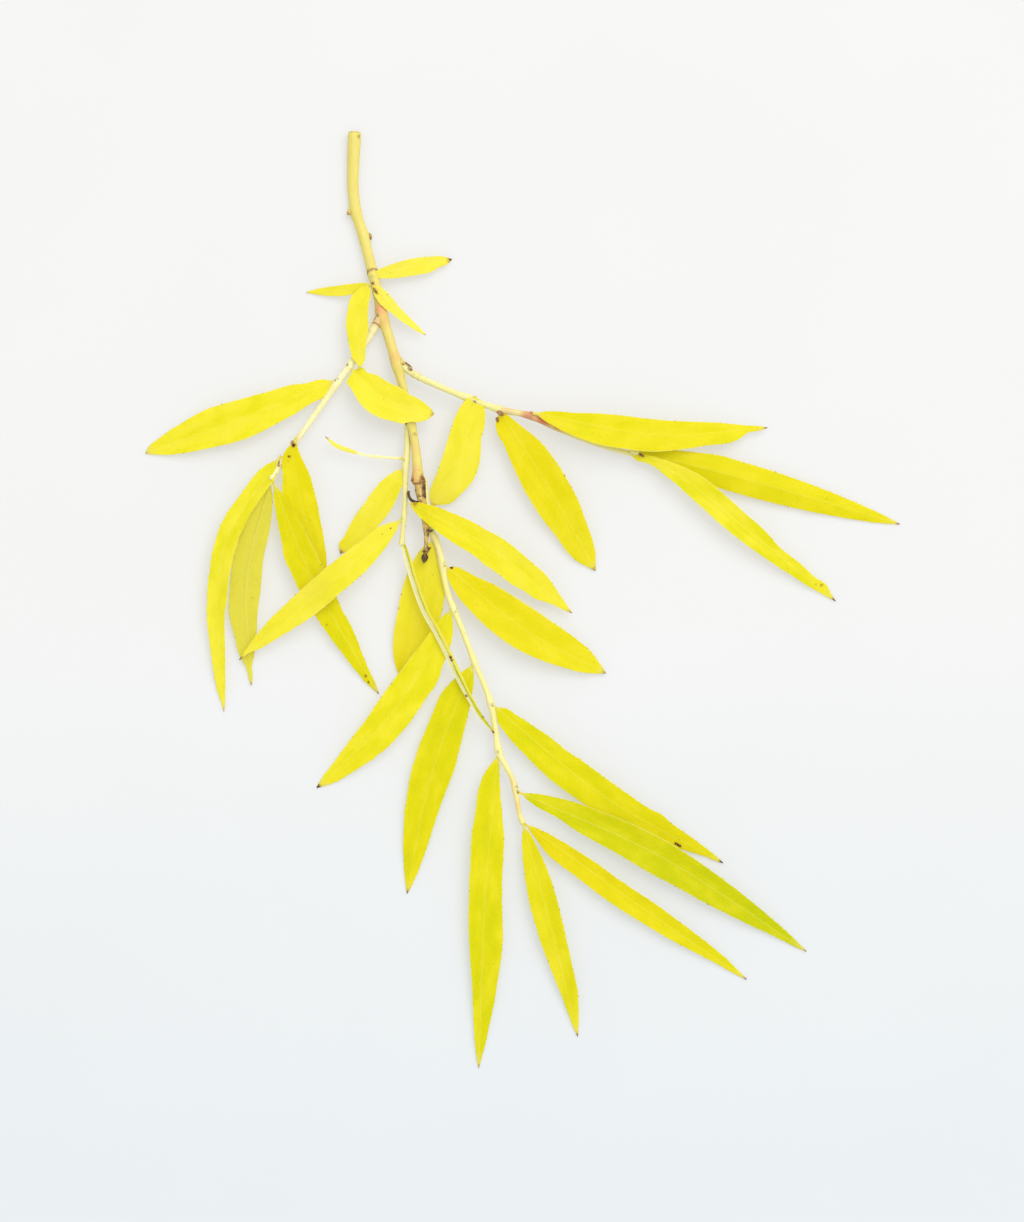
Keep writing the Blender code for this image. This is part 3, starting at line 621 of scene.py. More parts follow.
def tooth_at(teeth, distance):
    """How far the rim stands out at a distance along it, and whether a brown gland sits there."""
    for start, end, depth, gland in teeth:
        if distance < end:
            part = (distance - start) / (end - start)
            bite = part / TOOTH_LEAN if part < TOOTH_LEAN else (1 - part) / (1 - TOOTH_LEAN)
            return depth * bite, gland and bite > 0.75
    return 0.0, False


def grow_leaf(node, path, width, surface, fold=8.0, roll=0.0, widest=0.42, base=0.6, point=0.78,
              stalk=1.8, tip=0.3, wave=0.22, saw=0.16, young=(0.0, 0.0, 0.0), old=None, marks=(), rims=(),
              turned=0.0):
    """A willow leaf as a thin closed skin along its midrib. Lengths are in millimetres, angles in degrees.

    fold: how far each half is lifted. roll: how far the blade leans to its left. widest: where it is widest.
    base and point: how full its ends are. tip: how brown its point is. wave and saw: height of the rim's
    waves and depth of its teeth. young and old: how pale, green and golden it is at its base and point.
    marks: brown spots, as x, y, reach, darkness. rims: swells and bites of its outline, as place and reach
    in shares of the blade, and how far the left and the right rim move outwards there. turned: the share of
    the blade, from its base, that lies with its underside up.
    """
    draw = random.Random(node)
    young, old = Vector(young), Vector(old or young)
    rows = smooth_path(path, MIDRIB_STEP)
    travelled = lengths_along(rows)
    length = travelled[-1]
    blade = length - stalk
    stations = [stalk * share for share in (0.0, 0.25, 0.5, 0.75)]
    steps = round(blade / LEAF_STEP)
    stations += [stalk + blade * step / steps for step in range(steps)] + [length - 0.1, length]
    teeth = [saw_teeth(draw, length, saw), saw_teeth(draw, length, saw)]
    phases = [draw.uniform(0, math.tau) for _ in range(4)]
    waves = [draw.uniform(*WAVE_LENGTHS), draw.uniform(*WAVE_LENGTHS)]
    # Its place in the pattern, whole veins along, so that no two leaves have the same clouds
    offset = VEIN_PITCH * draw.randrange(10, 400)
    growth = Growth()
    index = 0
    rings = []
    for distance in stations:
        while index < len(rows) - 2 and travelled[index + 1] < distance:
            index += 1
        part = (distance - travelled[index]) / (travelled[index + 1] - travelled[index])
        centre = rows[index].lerp(rows[index + 1], part)
        along, across, above = frame_at(rows, index)
        turn = Matrix.Rotation(math.radians(roll), 3, along)
        across.rotate(turn)
        above.rotate(turn)
        t = max(0.0, (distance - stalk) / blade)
        share = blade_outline(t, widest, base, point)
        bites = [tooth_at(side, distance) for side in teeth]
        shifts = [sum(move[side] * near(t - place, reach) for place, reach, *move in rims) for side in (0, 1)]
        narrowest = STALK_WIDTH + (TIP_WIDTH - STALK_WIDTH) * t
        folded = math.radians(fold) * min(1.0, 1.6 * share)
        rib = 1 - 0.75 * t
        over = 0 < turned and t <= turned
        faces = []
        for face in (1, -1):
            line = []
            for reach in [-s for s in reversed(ACROSS[1:])] + list(ACROSS):
                # Half the width here, never less than the stalk or the tip
                side = 0 if reach < 0 else 1
                moved = (bites[side][0] + shifts[side]) * min(1.0, 3 * share)
                half = max(narrowest / 2, width / 2 * share + moved)
                u = abs(reach) * half
                # Creased along the midrib, waved along the rim, and quilted between the side veins
                crease = CREASE * min(1.0, half / 2)
                lift = math.sin(folded) * (math.sqrt(u * u + crease * crease) - crease * 0.6)
                ripple = math.sin(math.tau * distance / waves[side] + phases[side])
                ripple += 0.5 * math.sin(math.tau * distance / waves[side] * 1.9 + phases[side + 2])
                lift += wave * ripple * share * abs(reach) ** 2
                vein = math.cos(math.tau * (distance - VEIN_SLANT * u) / VEIN_PITCH)
                quilt = VEIN_RELIEF * vein * min(1.0, u / 0.8) * (1 - abs(reach) ** 4) * min(1.0, half / 2)
                # Thinner towards the rim, ridged under the midrib, and round where it is stalk
                edge = abs(reach) ** 5
                skin = (BLADE_THICKNESS * (1 - edge) + RIM_THICKNESS * edge) / 2
                ridge = near(u, RIB_WIDTH * (0.55 + 0.45 * rib)) * rib
                skin += ridge * (RIB_RISE if (face > 0) != over else RIB_DROP)
                round_share = 1 - min(1.0, share * 4)
                stalk_skin = STALK_HEIGHT / 2 * math.sqrt(max(0.05, 1 - reach * reach))
                skin = skin * (1 - round_share) + round_share * stalk_skin
                spot = centre + across * u * math.cos(folded) * (1 if reach > 0 else -1)
                spot += above * ((lift + quilt) * (1 - round_share) + face * skin)
                spot.z = max(spot.z, 0.0)
                # Brown at its tip, in its marks, and on the glands of its teeth
                brown = tip * near(length - distance, TIP_REACH) * 1.2
                for x, y, size, dark in marks:
                    brown = max(brown, dark * near(math.hypot(spot.x - x, spot.y - y), size))
                if abs(reach) >= 0.97 and bites[side][1]:
                    brown = max(brown, GLAND_BROWN)
                rim = max(0.0, abs(reach) - 0.9) * 10 * (1 - round_share)
                pattern = (distance + offset, u if reach > 0 else -u, share * rim)
                under = 1.0 if (face < 0) != over else 0.0
                line.append(growth.corner(spot, pattern, (under, brown, round_share), young.lerp(old, t)))
            faces.append(line)
        rings.append(faces[0] + faces[1][::-1])
    growth.band(rings)
    count = len(rings[0])
    for ring in (rings[0], rings[-1]):
        for near_side in range(count // 2 - 1):
            far_side = count - 2 - near_side
            growth.faces.append((ring[near_side], ring[near_side + 1], ring[far_side], ring[far_side + 1]))
    growth.finish(node, surface)


def willow_blade(name, lemon, pale, green, gold, wax="e5df4e", wax_net="efeb84", rib=0.35, hem=None):
    """Autumn willow leaf: a soft cuticle over yellow tissue that still holds some green, lit from behind.

    lemon, pale, green and gold: its upper side as it turns. wax and wax_net: its underside and the net on it.
    rib: how clear the midrib is underneath. hem: how far from the midrib a pale border starts.
    """
    surface, tree, shader = new_surface(name)
    place = add(tree, "Attribute", attribute_name="pattern_mm").outputs["Vector"]
    tone = add(tree, "Attribute", attribute_name="tone").outputs["Vector"]
    age = add(tree, "Attribute", attribute_name="age").outputs["Vector"]
    where = add(tree, "SeparateXYZ", [place])
    parts = add(tree, "SeparateXYZ", [tone])
    ages = add(tree, "SeparateXYZ", [age])
    # Clouds 12 mm long and 5 mm wide, in which the leaf turns at its own pace, and mottling 1 mm across
    drawn = add(tree, "Mapping", {0: place, 3: (1 / 12, 1 / 5, 0.0)})
    clouds = add(tree, "TexNoise", {"Vector": drawn, "Scale": 1.0, "Detail": 2.0})
    mottle = add(tree, "TexNoise", {"Vector": place, "Scale": 1.0, "Detail": 3.0})
    cloudy = add(tree, "MapRange", [clouds, 0.3, 0.7, -0.22, 0.22])
    clear = add(tree, "MapRange", [clouds, 0.3, 0.7, 0.2, -0.2])
    spotty = add(tree, "MapRange", [mottle, 0.3, 0.7, -0.3, 0.3])
    layers = []
    for number, shade, shift in ((1, green, cloudy), (2, gold, spotty), (0, pale, clear)):
        share = add(tree, "Math", [ages.outputs[number], shift], operation="ADD", use_clamp=True)
        layers.append((share, shade))
    # Side veins 2.6 mm apart and 0.4 mm wide, slanting forward and wandering a little
    beside = add(tree, "Math", [where.outputs[1]], operation="ABSOLUTE")
    wander = add(tree, "MapRange", {0: clouds, 3: -1.6, 4: 1.6})
    slanted = add(tree, "Math", [beside, -VEIN_SLANT, where.outputs[0]], operation="MULTIPLY_ADD")
    slanted = add(tree, "Math", [slanted, wander], operation="ADD")
    turns = add(tree, "Math", [slanted, math.tau / VEIN_PITCH], operation="MULTIPLY")
    swing = add(tree, "Math", [turns], operation="COSINE")
    veins = add(tree, "MapRange", [swing, 0.8, 1.0, 0.0, 1.0])
    veined = add(tree, "Math", [veins, 0.06], operation="MULTIPLY")
    # Midrib 0.4 mm wide, clearest where the blade is still green, and the thin hard rim with its pale teeth
    line = add(tree, "MapRange", [beside, 0.08, 0.32, 1.0, 0.0], interpolation_type="SMOOTHSTEP")
    clarity = add(tree, "MapRange", [ages.outputs[1], 0.0, 0.5, 0.08, 0.18])
    ribbed = add(tree, "Math", [line, clarity], operation="MULTIPLY")
    # The pale rim is partly its own paler colour and partly a painted glow of light through the thin edge
    pale_rim_and_glow = add(tree, "MapRange", [where.outputs[2], 0.3, 0.9, 0.0, 0.4])
    layers += [(veined, "f6f08a"), (ribbed, "f8f2a0"), (pale_rim_and_glow, "faf3b4")]
    if hem:
        # The pale border of a folded leaf fades in over 0.3 mm
        margin = add(tree, "MapRange", [beside, hem, hem + 0.3, 0.0, 0.85])
        layers.append((margin, pale))
    # Underside: paler, waxy, with a net of raised veins about 1 mm across
    net = add(tree, "TexVoronoi", {"Vector": place, "Scale": 0.9}, feature="DISTANCE_TO_EDGE")
    netted = add(tree, "MapRange", [net, 0.02, 0.12, 1.0, 0.0])
    netting = add(tree, "Math", [netted, 0.25], operation="MULTIPLY")
    waxy = add(tree, "Mix", {0: netting, 6: wax, 7: wax_net}, data_type="RGBA")
    thick = add(tree, "MapRange", [beside, 0.2, 0.6, rib, 0.0])
    ribs = add(tree, "Math", [thick, veined], operation="MAXIMUM")
    waxy = add(tree, "Mix", {0: ribs, 6: waxy, 7: "f5f0b4"}, data_type="RGBA")
    # Sparse freckles 0.5 mm across, and withered tips and spots with crumbled edges
    crumbs = add(tree, "TexNoise", {"Vector": place, "Scale": 1.6, "Detail": 3.0})
    freckles = add(tree, "TexVoronoi", {"Vector": place, "Scale": 0.32})
    sparse = add(tree, "SeparateColor", [freckles.outputs["Color"]])
    chosen = add(tree, "Math", [sparse.outputs[0], 0.85], operation="GREATER_THAN")
    freckled = add(tree, "MapRange", [freckles.outputs["Distance"], 0.03, 0.12, 0.45, 0.0])
    freckled = add(tree, "Math", [freckled, chosen], operation="MULTIPLY")
    crumbled = add(tree, "MapRange", [crumbs, 0.3, 0.7, -0.25, 0.25])
    wilted = add(tree, "Math", [parts.outputs[1], crumbled], operation="ADD")
    wilted = add(tree, "MapRange", [wilted, 0.2, 0.7, 0.0, 1.0])
    browned = add(tree, "Math", [wilted, freckled], operation="MAXIMUM")
    browns = [(0.3, "b5862a"), (0.7, "8a4d26"), (1.0, "3a2216")]
    brown = add(tree, "ValToRGB", [parts.outputs[1]], stops=browns)
    # From the blade up: the underside, the straw-yellow stalk, and what has browned
    layers += [(parts.outputs[0], waxy), (parts.outputs[2], "eee478"), (browned, brown)]
    coloured = lemon
    for share, shade in layers:
        coloured = add(tree, "Mix", {0: share, 6: coloured, 7: shade}, data_type="RGBA")
    # Side veins and the net of the underside stand up
    raised = add(tree, "Math", [veins, mottle], operation="ADD")
    netty = add(tree, "Math", [netted, parts.outputs[0], raised], operation="MULTIPLY_ADD")
    bump = add(tree, "Bump", {"Strength": 0.4, "Distance": 0.03 * MM, "Height": netty})
    wire(shader, {"Base Color": coloured, "Roughness": 0.5, "Specular IOR Level": 0.15, "Normal": bump})
    through = add(tree, "BsdfTranslucent", {"Color": coloured})
    lit = add(tree, "MixShader", [LIGHT_THROUGH, shader, through])
    wire(tree.nodes["Material Output"], {"Surface": lit})
    return surface


# Height of the midrib where the tip of a leaf rests on the table, in millimetres
TIP_ON_TABLE = 0.325
# As they turn: lemon, with green left between the veins, or gold
lemon_leaf = willow_blade("lemon_willow_leaf", "f6ed22", "fbf268", "d8da08", "f0de0c")
green_leaf = willow_blade("green_tinged_willow_leaf", "f2e80e", "f6ee54", "ced400", "f0de04")
golden_leaf = willow_blade("golden_willow_leaf", "f1e716", "f6ed50", "d6d806", "efdc06")

grow_leaf(
    "leaf_top_1", [(-54.3, 116.8, 4.4), (-50.4, 117.4, 4.5), (-38.3, 119.9, 4.2), (-25.4, 122.6, 2.2)],
    6.1, lemon_leaf, roll=10, widest=0.5, base=0.5, stalk=0.6, tip=0.7,
    young=(0.8, 0, 0), old=(0.5, 0, 0.1),
    rims=[(0.85, 0.1, 0.4, 0), (0.7, 0.08, 0, 0.5), (0.93, 0.05, 0, 0.5)],
)
grow_leaf(
    "leaf_top_2", [(-54.4, 113.3, 4.3), (-58, 112.4, 4), (-65.7, 111.3, 2.6),
                   (-77.9, 110.8, TIP_ON_TABLE)],
    3.9, lemon_leaf, roll=-12, base=0.3, stalk=0.6, young=(0.4, 0, 0.1),
)
grow_leaf(
    "leaf_top_3", [(-55.7, 113.5, 4.4), (-58, 107.6, 5.6), (-59.5, 99.5, 6.2), (-58.6, 82.6, 7.6)],
    7.8, lemon_leaf, roll=8, base=0.36, stalk=0.6, young=(0.3, 0, 0.1), old=(0.45, 0, 0),
    marks=[(-54.5, 92.8, 0.6, 0.4)],
    rims=[(0.88, 0.1, 0.7, 0.6), (0.2, 0.06, -0.4, 0.5), (0.5, 0.1, 0.5, 0), (0.93, 0.05, 0, -0.9)],
)
grow_leaf(
    "leaf_top_4", [(-54.2, 113.4, 4.6), (-50.6, 109.6, 5.2), (-45.9, 104.2, 5), (-34.9, 95.2, 3)],
    5, lemon_leaf, roll=-10, base=0.45, stalk=0.6, young=(0.85, 0, 0.2), old=(0.8, 0, 0.1),
    marks=[(-49, 105, 0.35, 0.5), (-48.6, 109.6, 0.3, 0.6)],
    rims=[(0.7, 0.2, 0, -0.5), (0.65, 0.3, -0.7, 0), (0.45, 0.14, -0.2, -0.7), (0.2, 0.14, 0, 0.6)],
)

# Leaves of the left shoot: broad lemon ones near its base and narrower greener ones at its tip, the last of
# them turned over so that its pale, netted underside shows, on which the midrib hardly stands out.
pale_leaf = willow_blade("turned_willow_leaf", "f2e80e", "f6ee54", "ced400", "f0de04", rib=0.12)

grow_leaf(
    "leaf_left_1", [(-62.2, 83.6, 5), (-49.9, 71.8, 7.8), (-31.7, 66.6, 7.2)],
    13.7, lemon_leaf, fold=10, roll=-6, tip=0.4, saw=0.1, young=(0.3, 0, 0), old=(0.45, 0, 0),
    rims=[(0.35, 0.15, -0.6, 0), (0.04, 0.05, 0.3, 1.2), (0.87, 0.08, 0.1, 1.1), (0.11, 0.06, -0.9, 0.7),
          (0.7, 0.06, -0.5, 0.9), (0.96, 0.04, 0.2, 1.2), (0.05, 0.05, 0.9, 0.6)],
)
grow_leaf(
    "leaf_left_2", [(-66.8, 79, 4.7), (-101.7, 64.6, 4.2), (-136, 52.8, TIP_ON_TABLE)],
    13, lemon_leaf, fold=7, roll=6, tip=0.3, saw=0.14,
    young=(0.15, 0.05, 0.1), old=(0.2, 0, 0),
    rims=[(0.82, 0.2, 0.9, 1.6), (0.3, 0.12, 0, -0.5), (0.06, 0.05, 0.5, 0.2), (0.99, 0.03, 0.5, 0.6),
          (0.52, 0.13, 0.9, 0.5), (0.64, 0.12, 0, 1.2), (0.12, 0.06, 0, -0.8), (0.97, 0.03, 0, 1.4),
          (0.05, 0.05, 1, 0)],
)
grow_leaf(
    "leaf_left_3", [(-81.2, 58.4, 7.2), (-82.6, 51.2, 6.9), (-81.3, 43, 5.6), (-79.5, 33.5, 4),
                    (-71, 5.5, 1)],
    11.9, green_leaf, roll=-6, base=0.75, saw=0.2,
    young=(0, 0.15, 0.35), old=(0, 0.25, 0.2),
    marks=[(-82.3, 55.4, 0.8, 1.1), (-83.9, 51.4, 0.6, 0.9), (-84.3, 49.6, 0.4, 0.7),
           (-73.5, 12.5, 0.5, 0.5)],
    rims=[(0.1, 0.07, 0.2, 0.7), (0.6, 0.2, -0.5, 0)],
)
grow_leaf(
    "leaf_left_4", [(-89.9, 42.8, 6.3), (-79.4, 15.7, 5.8), (-70.4, -2.7, 4.4),
                    (-51.9, -34, TIP_ON_TABLE)],
    10.8, green_leaf, fold=7, roll=5, base=0.7, tip=0.5, saw=0.26,
    young=(0, 0.25, 0.25), old=(0, 0.3, 0.15),
    marks=[(-56.6, -27.6, 0.6, 0.8), (-55.6, -29.8, 0.5, 0.75), (-57.6, -23.6, 0.35, 0.6),
           (-70.6, -9.2, 0.5, 0.7), (-90.2, 40, 0.5, 0.6)],
    rims=[(0.42, 0.12, 0, 0.5), (0.85, 0.1, -0.7, 0.2), (0.95, 0.05, 0, 0.4), (0.6, 0.06, -0.5, 0),
          (0.3, 0.06, 0, 0.7)],
)
grow_leaf(
    "leaf_left_5", [(-86.8, 51.6, 5.9), (-95, 40.5, 6.2), (-105.7, 23.2, 6.4), (-110, -0.2, 5),
                    (-107.7, -40.3, TIP_ON_TABLE)],
    8.6, lemon_leaf, fold=10, roll=8, tip=0.4, saw=0.26,
    young=(0.1, 0.3, 0), old=(0.35, 0.1, 0),
    marks=[(-99, 6, 0.35, 0.6), (-98.6, 1.2, 0.3, 0.5), (-103, -31.4, 0.4, 0.55)],
    rims=[(0.48, 0.14, 0, -0.9), (0.75, 0.15, -0.5, 0.1), (0.9, 0.08, -0.2, 0.5), (0.1, 0.08, 0, 0.7),
          (0.66, 0.07, -0.5, 0), (0.07, 0.06, 1.3, 0.5)],
)
grow_leaf(
    "leaf_left_6", [(-90.6, 43, 5.1), (-99.5, 7, 3), (-97.8, -30.8, 0.6)],
    11.5, pale_leaf, tip=0.5, saw=0.1, turned=1,
    marks=[(-96, 7.4, 0.5, 0.5), (-97.2, 0.6, 0.4, 0.5)],
    rims=[(0.83, 0.1, -0.8, 0.7), (0.35, 0.1, -0.7, 0), (0.65, 0.09, -0.6, 1), (0.92, 0.05, -0.9, -0.8)],
)

# Leaves of the middle shoot: a thin wisp that turns over halfway, two flat ones, and one folded shut along
# its midrib. That one lies on its side: the cream underside of one half shows, and past it a strip of the
# other half with a pale border, olive partly from its own green and partly as painted shade in the fold.
closed_leaf = willow_blade(
    "closed_willow_leaf", "e8de1c", "f4ec74", "bcc00a", "e8d608",
    wax="fdf9cc", wax_net="fffce6", rib=0.1, hem=1.45,
)

grow_leaf(
    "leaf_middle_1", [(-42, 50.6, 5), (-55, 51.7, 4.2), (-63.2, 53.9, 4.4), (-67.5, 55.7, 5),
                      (-70.9, 58.6, 5.5)],
    1.6, closed_leaf, fold=0, widest=0.8, tip=0.5, wave=0.1, saw=0, turned=0.55,
    young=(0.9, 0, 0.3), old=(0.7, 0, 0.4),
    rims=[(0.48, 0.12, -0.3, -0.3)],
)
grow_leaf(
    "leaf_middle_2", [(-42.2, 48.2, 5.1), (-51.9, 34.3, 4.2), (-65.6, 16.5, 1.5)],
    9.6, lemon_leaf, fold=9, roll=6, tip=0.6, saw=0.2, young=(0.4, 0, 0.2), old=(0.3, 0, 0),
    rims=[(0.45, 0.15, 0.3, -0.6), (0.78, 0.15, 0.9, 0.1), (0.08, 0.05, 1, 0), (0.96, 0.08, 0, 1.7)],
)
grow_leaf(
    "leaf_middle_3", [(-43, 29.3, 6.3), (-62.4, 11.3, 8.6), (-82.9, -5.9, 7.2), (-101.9, -21.7, 3.6)],
    10.8, lemon_leaf, roll=-5, tip=0.8, saw=0.22, young=(0.35, 0.05, 0), old=(0.35, 0, 0),
    marks=[(-47.4, 25.6, 0.4, 0.7), (-50.4, 23.4, 0.35, 0.6)],
    rims=[(0.1, 0.06, 0, 0.8), (0.42, 0.1, -0.6, 0), (0.8, 0.15, -0.5, 0.5), (0.96, 0.04, -1.4, 0)],
)
grow_leaf(
    "leaf_middle_4", [(-43.6, 20.4, 6.4), (-40.1, 6.7, 6.9), (-36.2, -4.1, 7.1), (-32, -11.8, 7.2),
                      (-27.8, -20.1, 7.2), (-24.5, -27.1, 7.2), (-19.7, -36, 7.1), (-15.5, -42.4, 7),
                      (-10.2, -48, 6.8)],
    5.9, closed_leaf, fold=75, roll=-70, widest=0.5, base=0.2, point=0.55, stalk=0.3,
    # Its olive is partly its own green and partly painted shade where the halves close over each other
    tip=0.6, wave=0.1, saw=0.12, young=(0, 0.8, 0), old=(0, 1, 0),
    marks=[(-25.9, -20.8, 0.6, 1), (-25.4, -21.8, 0.5, 1), (-20.2, -34.6, 0.5, 0.9), (-14, -42, 0.5, 0.9)],
    rims=[(0.5, 0.7, 0, -1.3), (0.4, 0.16, -0.3, 0)],
)

# Leaves of the right shoot: two broad ones hang from its middle, and three long ones carry on past its tip,
# where the shoot ends in a thick bud.
grow_leaf(
    "leaf_right_1", [(-17, 73.2, 7), (-18.6, 65.6, 6.4), (-22.9, 49.5, 4.6), (-32.6, 33.8, 2)],
    13, lemon_leaf, fold=9, roll=-6, base=0.36, stalk=0.6,
    young=(0.3, 0, 0.1), old=(0.55, 0, 0),
    rims=[(0.33, 0.1, -1, 0), (0.62, 0.13, 1.2, 0.3), (0.86, 0.12, 1.5, 0.6), (0.97, 0.05, 0.5, 0.8),
          (0.72, 0.13, 1.1, 0.1), (0.9, 0.08, 1.1, 0.5)],
)
grow_leaf(
    "leaf_right_2", [(-8.9, 68.8, 5.8), (8.5, 41.6, 5), (26.3, 10.4, 0.8)],
    14.8, golden_leaf, fold=7, roll=5, tip=0.5, young=(0, 0.1, 0.5), old=(0.2, 0, 0.1),
    rims=[(0.08, 0.05, -0.2, 1.3), (0.45, 0.08, 0, 0.5), (0.87, 0.13, 0.9, 1.7), (0.12, 0.1, -0.8, 0),
          (0.02, 0.03, 0, 1.2), (0.62, 0.12, 0.5, 0.9)],
)
grow_leaf(
    "leaf_right_3", [(3.6, 67, 7.6), (47.7, 59.1, 7.2), (88.2, 61.9, 2.2)],
    11.5, golden_leaf, roll=-3, tip=0.6, young=(0.1, 0.1, 0.1), old=(0.1, 0, 0),
    rims=[(0.15, 0.1, -0.6, 0), (0.88, 0.08, -0.3, 0.9), (0.2, 0.16, -0.3, 0.4), (0.8, 0.05, 0, 0.6),
          (0.92, 0.04, -0.3, -1.5), (0.5, 0.08, 0, 0.5), (0.26, 0.16, 0, 0.8)],
)
grow_leaf(
    "leaf_right_4", [(39, 53.6, 3.4), (80.1, 43.4, 4.2), (136, 27.2, TIP_ON_TABLE)],
    11.8, golden_leaf, fold=-8, roll=4, tip=0.6, young=(0, 0.25, 0.1), old=(0, 0.1, 0.1),
    rims=[(0.6, 0.3, -0.4, 0), (0.3, 0.06, 0.5, 0)],
)
grow_leaf(
    "leaf_right_5", [(38.6, 52.9, 4.6), (58.7, 42.7, 6.4), (82.3, 23.6, 5.8), (112.9, -0.5, TIP_ON_TABLE)],
    9, lemon_leaf, roll=6, stalk=0.8, tip=0.85, young=(0.2, 0.2, 0), old=(0.1, 0.2, 0),
    marks=[(107.8, 5.2, 0.7, 0.6), (105.6, 5.4, 0.5, 0.5)],
    rims=[(0.3, 0.1, 0.5, -0.4), (0.93, 0.04, 1.2, 0), (0.7, 0.06, -1, 0), (0.95, 0.03, 0.5, 0),
          (0.2, 0.05, 0, -0.6), (0.02, 0.03, 0, 1), (0.1, 0.07, 0, -1.5)],
)

# Leaves of the lower shoot: ten, alternating from side to side, broad and golden at the top, long, narrow
# and greener further down, with the deepest teeth of all.
grow_leaf(
    "leaf_lower_1", [(-40.6, 34.7, 8.9), (-11.7, 18.2, 8.4), (17.8, -4.9, 3)],
    11.9, lemon_leaf, roll=5, base=0.6, stalk=0.5, tip=0.5, saw=0.18,
    young=(0.1, 0, 0.2), old=(0.3, 0, 0),
    marks=[(-38.6, 34.3, 1.3, 0.55)],
    rims=[(0.25, 0.12, -0.7, -0.4), (0.78, 0.08, 0.9, 0), (0.68, 0.08, 0.2, 0.6), (0.92, 0.05, 0, -0.4),
          (0.4, 0.07, -0.7, -0.7), (0.8, 0.04, 0, 0.8)],
)
grow_leaf(
    "leaf_lower_2", [(-32.4, 22.4, 4.3), (-37.3, -5.9, 2.6), (-44.1, -28.3, 0.8)],
    # Paler at its base: painted lighter to offset the shade of the leaves lying over it
    15.8, golden_leaf, fold=5, saw=0.16, young=(0.6, 0, 0.1), old=(0.2, 0, 0.5),
    rims=[(0.85, 0.15, 0, 0.9), (0.7, 0.16, 0, 0.7)],
)
grow_leaf(
    "leaf_lower_3", [(-25.2, -2.6, 5.1), (-33.6, -20.9, 5.4), (-50.9, -45.6, 4.2),
                     (-74.2, -67.9, TIP_ON_TABLE)],
    12.8, lemon_leaf, fold=9, roll=-5, tip=0.9, saw=0.24,
    young=(0, 0.25, 0), old=(0.1, 0.05, 0.1),
    rims=[(0.65, 0.3, 1, 0), (0.95, 0.08, 0.7, 0), (0.3, 0.06, 0.9, 0), (0.75, 0.2, 0.4, 0),
          (0.5, 0.1, 0, 0.4), (0.87, 0.06, 0, -0.4), (0.1, 0.06, 0.5, 0)],
)
grow_leaf(
    "leaf_lower_4", [(-17.7, -22.4, 4.8), (-33.1, -63.9, 3.4), (-41.6, -106, TIP_ON_TABLE)],
    13.2, green_leaf, fold=7, roll=6, tip=0.6, saw=0.24,
    young=(0, 0.4, 0.1), old=(0, 0.2, 0.1),
    rims=[(0.4, 0.22, 0.3, 0.7), (0.45, 0.1, 0.7, 0), (0.75, 0.2, 0, 0.5), (0.15, 0.1, 0, 1.7)],
)
grow_leaf(
    "leaf_lower_5", [(-28.2, 12.3, 4.9), (0.9, -10.8, 5.2), (30.1, -26.6, 1.2)],
    15, golden_leaf, fold=9, roll=-6, base=0.48, tip=0.5, saw=0.18,
    young=(0, 0.1, 0.4), old=(0.1, 0.1, 0.1),
    marks=[(-25.6, 11.5, 0.7, 1)],
    rims=[(0.78, 0.16, 1.1, 0.3), (0.3, 0.15, -0.4, 0.2), (0.93, 0.06, 0.3, 0.4), (0.13, 0.09, -1.1, 0.3),
          (0.55, 0.2, 0.5, 0.4), (0.85, 0.05, 0.4, 0.3)],
)
grow_leaf(
    "leaf_lower_6", [(-11, -37.8, 4.9), (29.8, -71.2, 3.8), (72.3, -95, 0.6)],
    11.9, green_leaf, fold=7, roll=6, tip=0.95, saw=0.26,
    young=(0, 0.3, 0), old=(0, 0.15, 0.15),
    marks=[(55.2, -88, 0.5, 1.2), (56, -88.4, 0.55, 1.3), (56.8, -88.9, 0.5, 1.2),
           (56.4, -86.4, 0.4, 0.5)],
    rims=[(0.25, 0.2, -0.2, 1.4), (0.72, 0.035, 0.8, 0), (0.91, 0.07, 0, -1.3), (0.03, 0.03, 0.7, 0.6),
          (0.09, 0.07, 0, 1), (0.9, 0.05, 0, 0.7), (0.3, 0.05, -0.4, 0)],
)
grow_leaf(
    "leaf_lower_7", [(-8.9, -55, 4.6), (-13.6, -108.2, 4.2), (-15.8, -168.9, TIP_ON_TABLE)],
    11.3, green_leaf, roll=-7, tip=0.4, saw=0.26, young=(0, 0.3, 0.1), old=(0, 0.4, 0),
    rims=[(0.14, 0.1, -0.7, 1.6), (0.38, 0.1, 0, 0.5), (0.75, 0.17, 1, -0.2), (0.08, 0.07, -0.6, 1.2),
          (0.26, 0.07, 0.3, 1.2), (0.58, 0.12, 1.5, 0), (0.74, 0.12, 0.3, -0.6)],
)
grow_leaf(
    "leaf_lower_8", [(-1.6, -69.2, 4.6), (50.8, -93.1, 5.4), (102.4, -126.9, TIP_ON_TABLE)],
    12.2, green_leaf, roll=5, tip=0.5, saw=0.22, young=(0, 0.5, 0), old=(0, 0.85, 0),
    rims=[(0.15, 0.1, 0.5, -0.3), (0.62, 0.14, -0.3, 0.8), (0.9, 0.08, 0, -0.5), (0.12, 0.05, 0, -0.7),
          (0.45, 0.08, 0, 0.8)],
)
grow_leaf(
    "leaf_lower_9", [(0.3, -80.4, 3.2), (40.4, -109.2, 3.8), (80.8, -137, TIP_ON_TABLE)],
    9, golden_leaf, fold=10, roll=6, tip=0.6, saw=0.22,
    young=(0, 0.05, 0.6), old=(0, 0.2, 0),
    marks=[(7.6, -83.4, 0.4, 0.7)],
    rims=[(0.18, 0.1, -0.2, 0.9), (0.85, 0.12, 0.4, -0.6), (0.4, 0.12, -0.8, 0.5), (0.12, 0.05, 0, 0.6)],
)
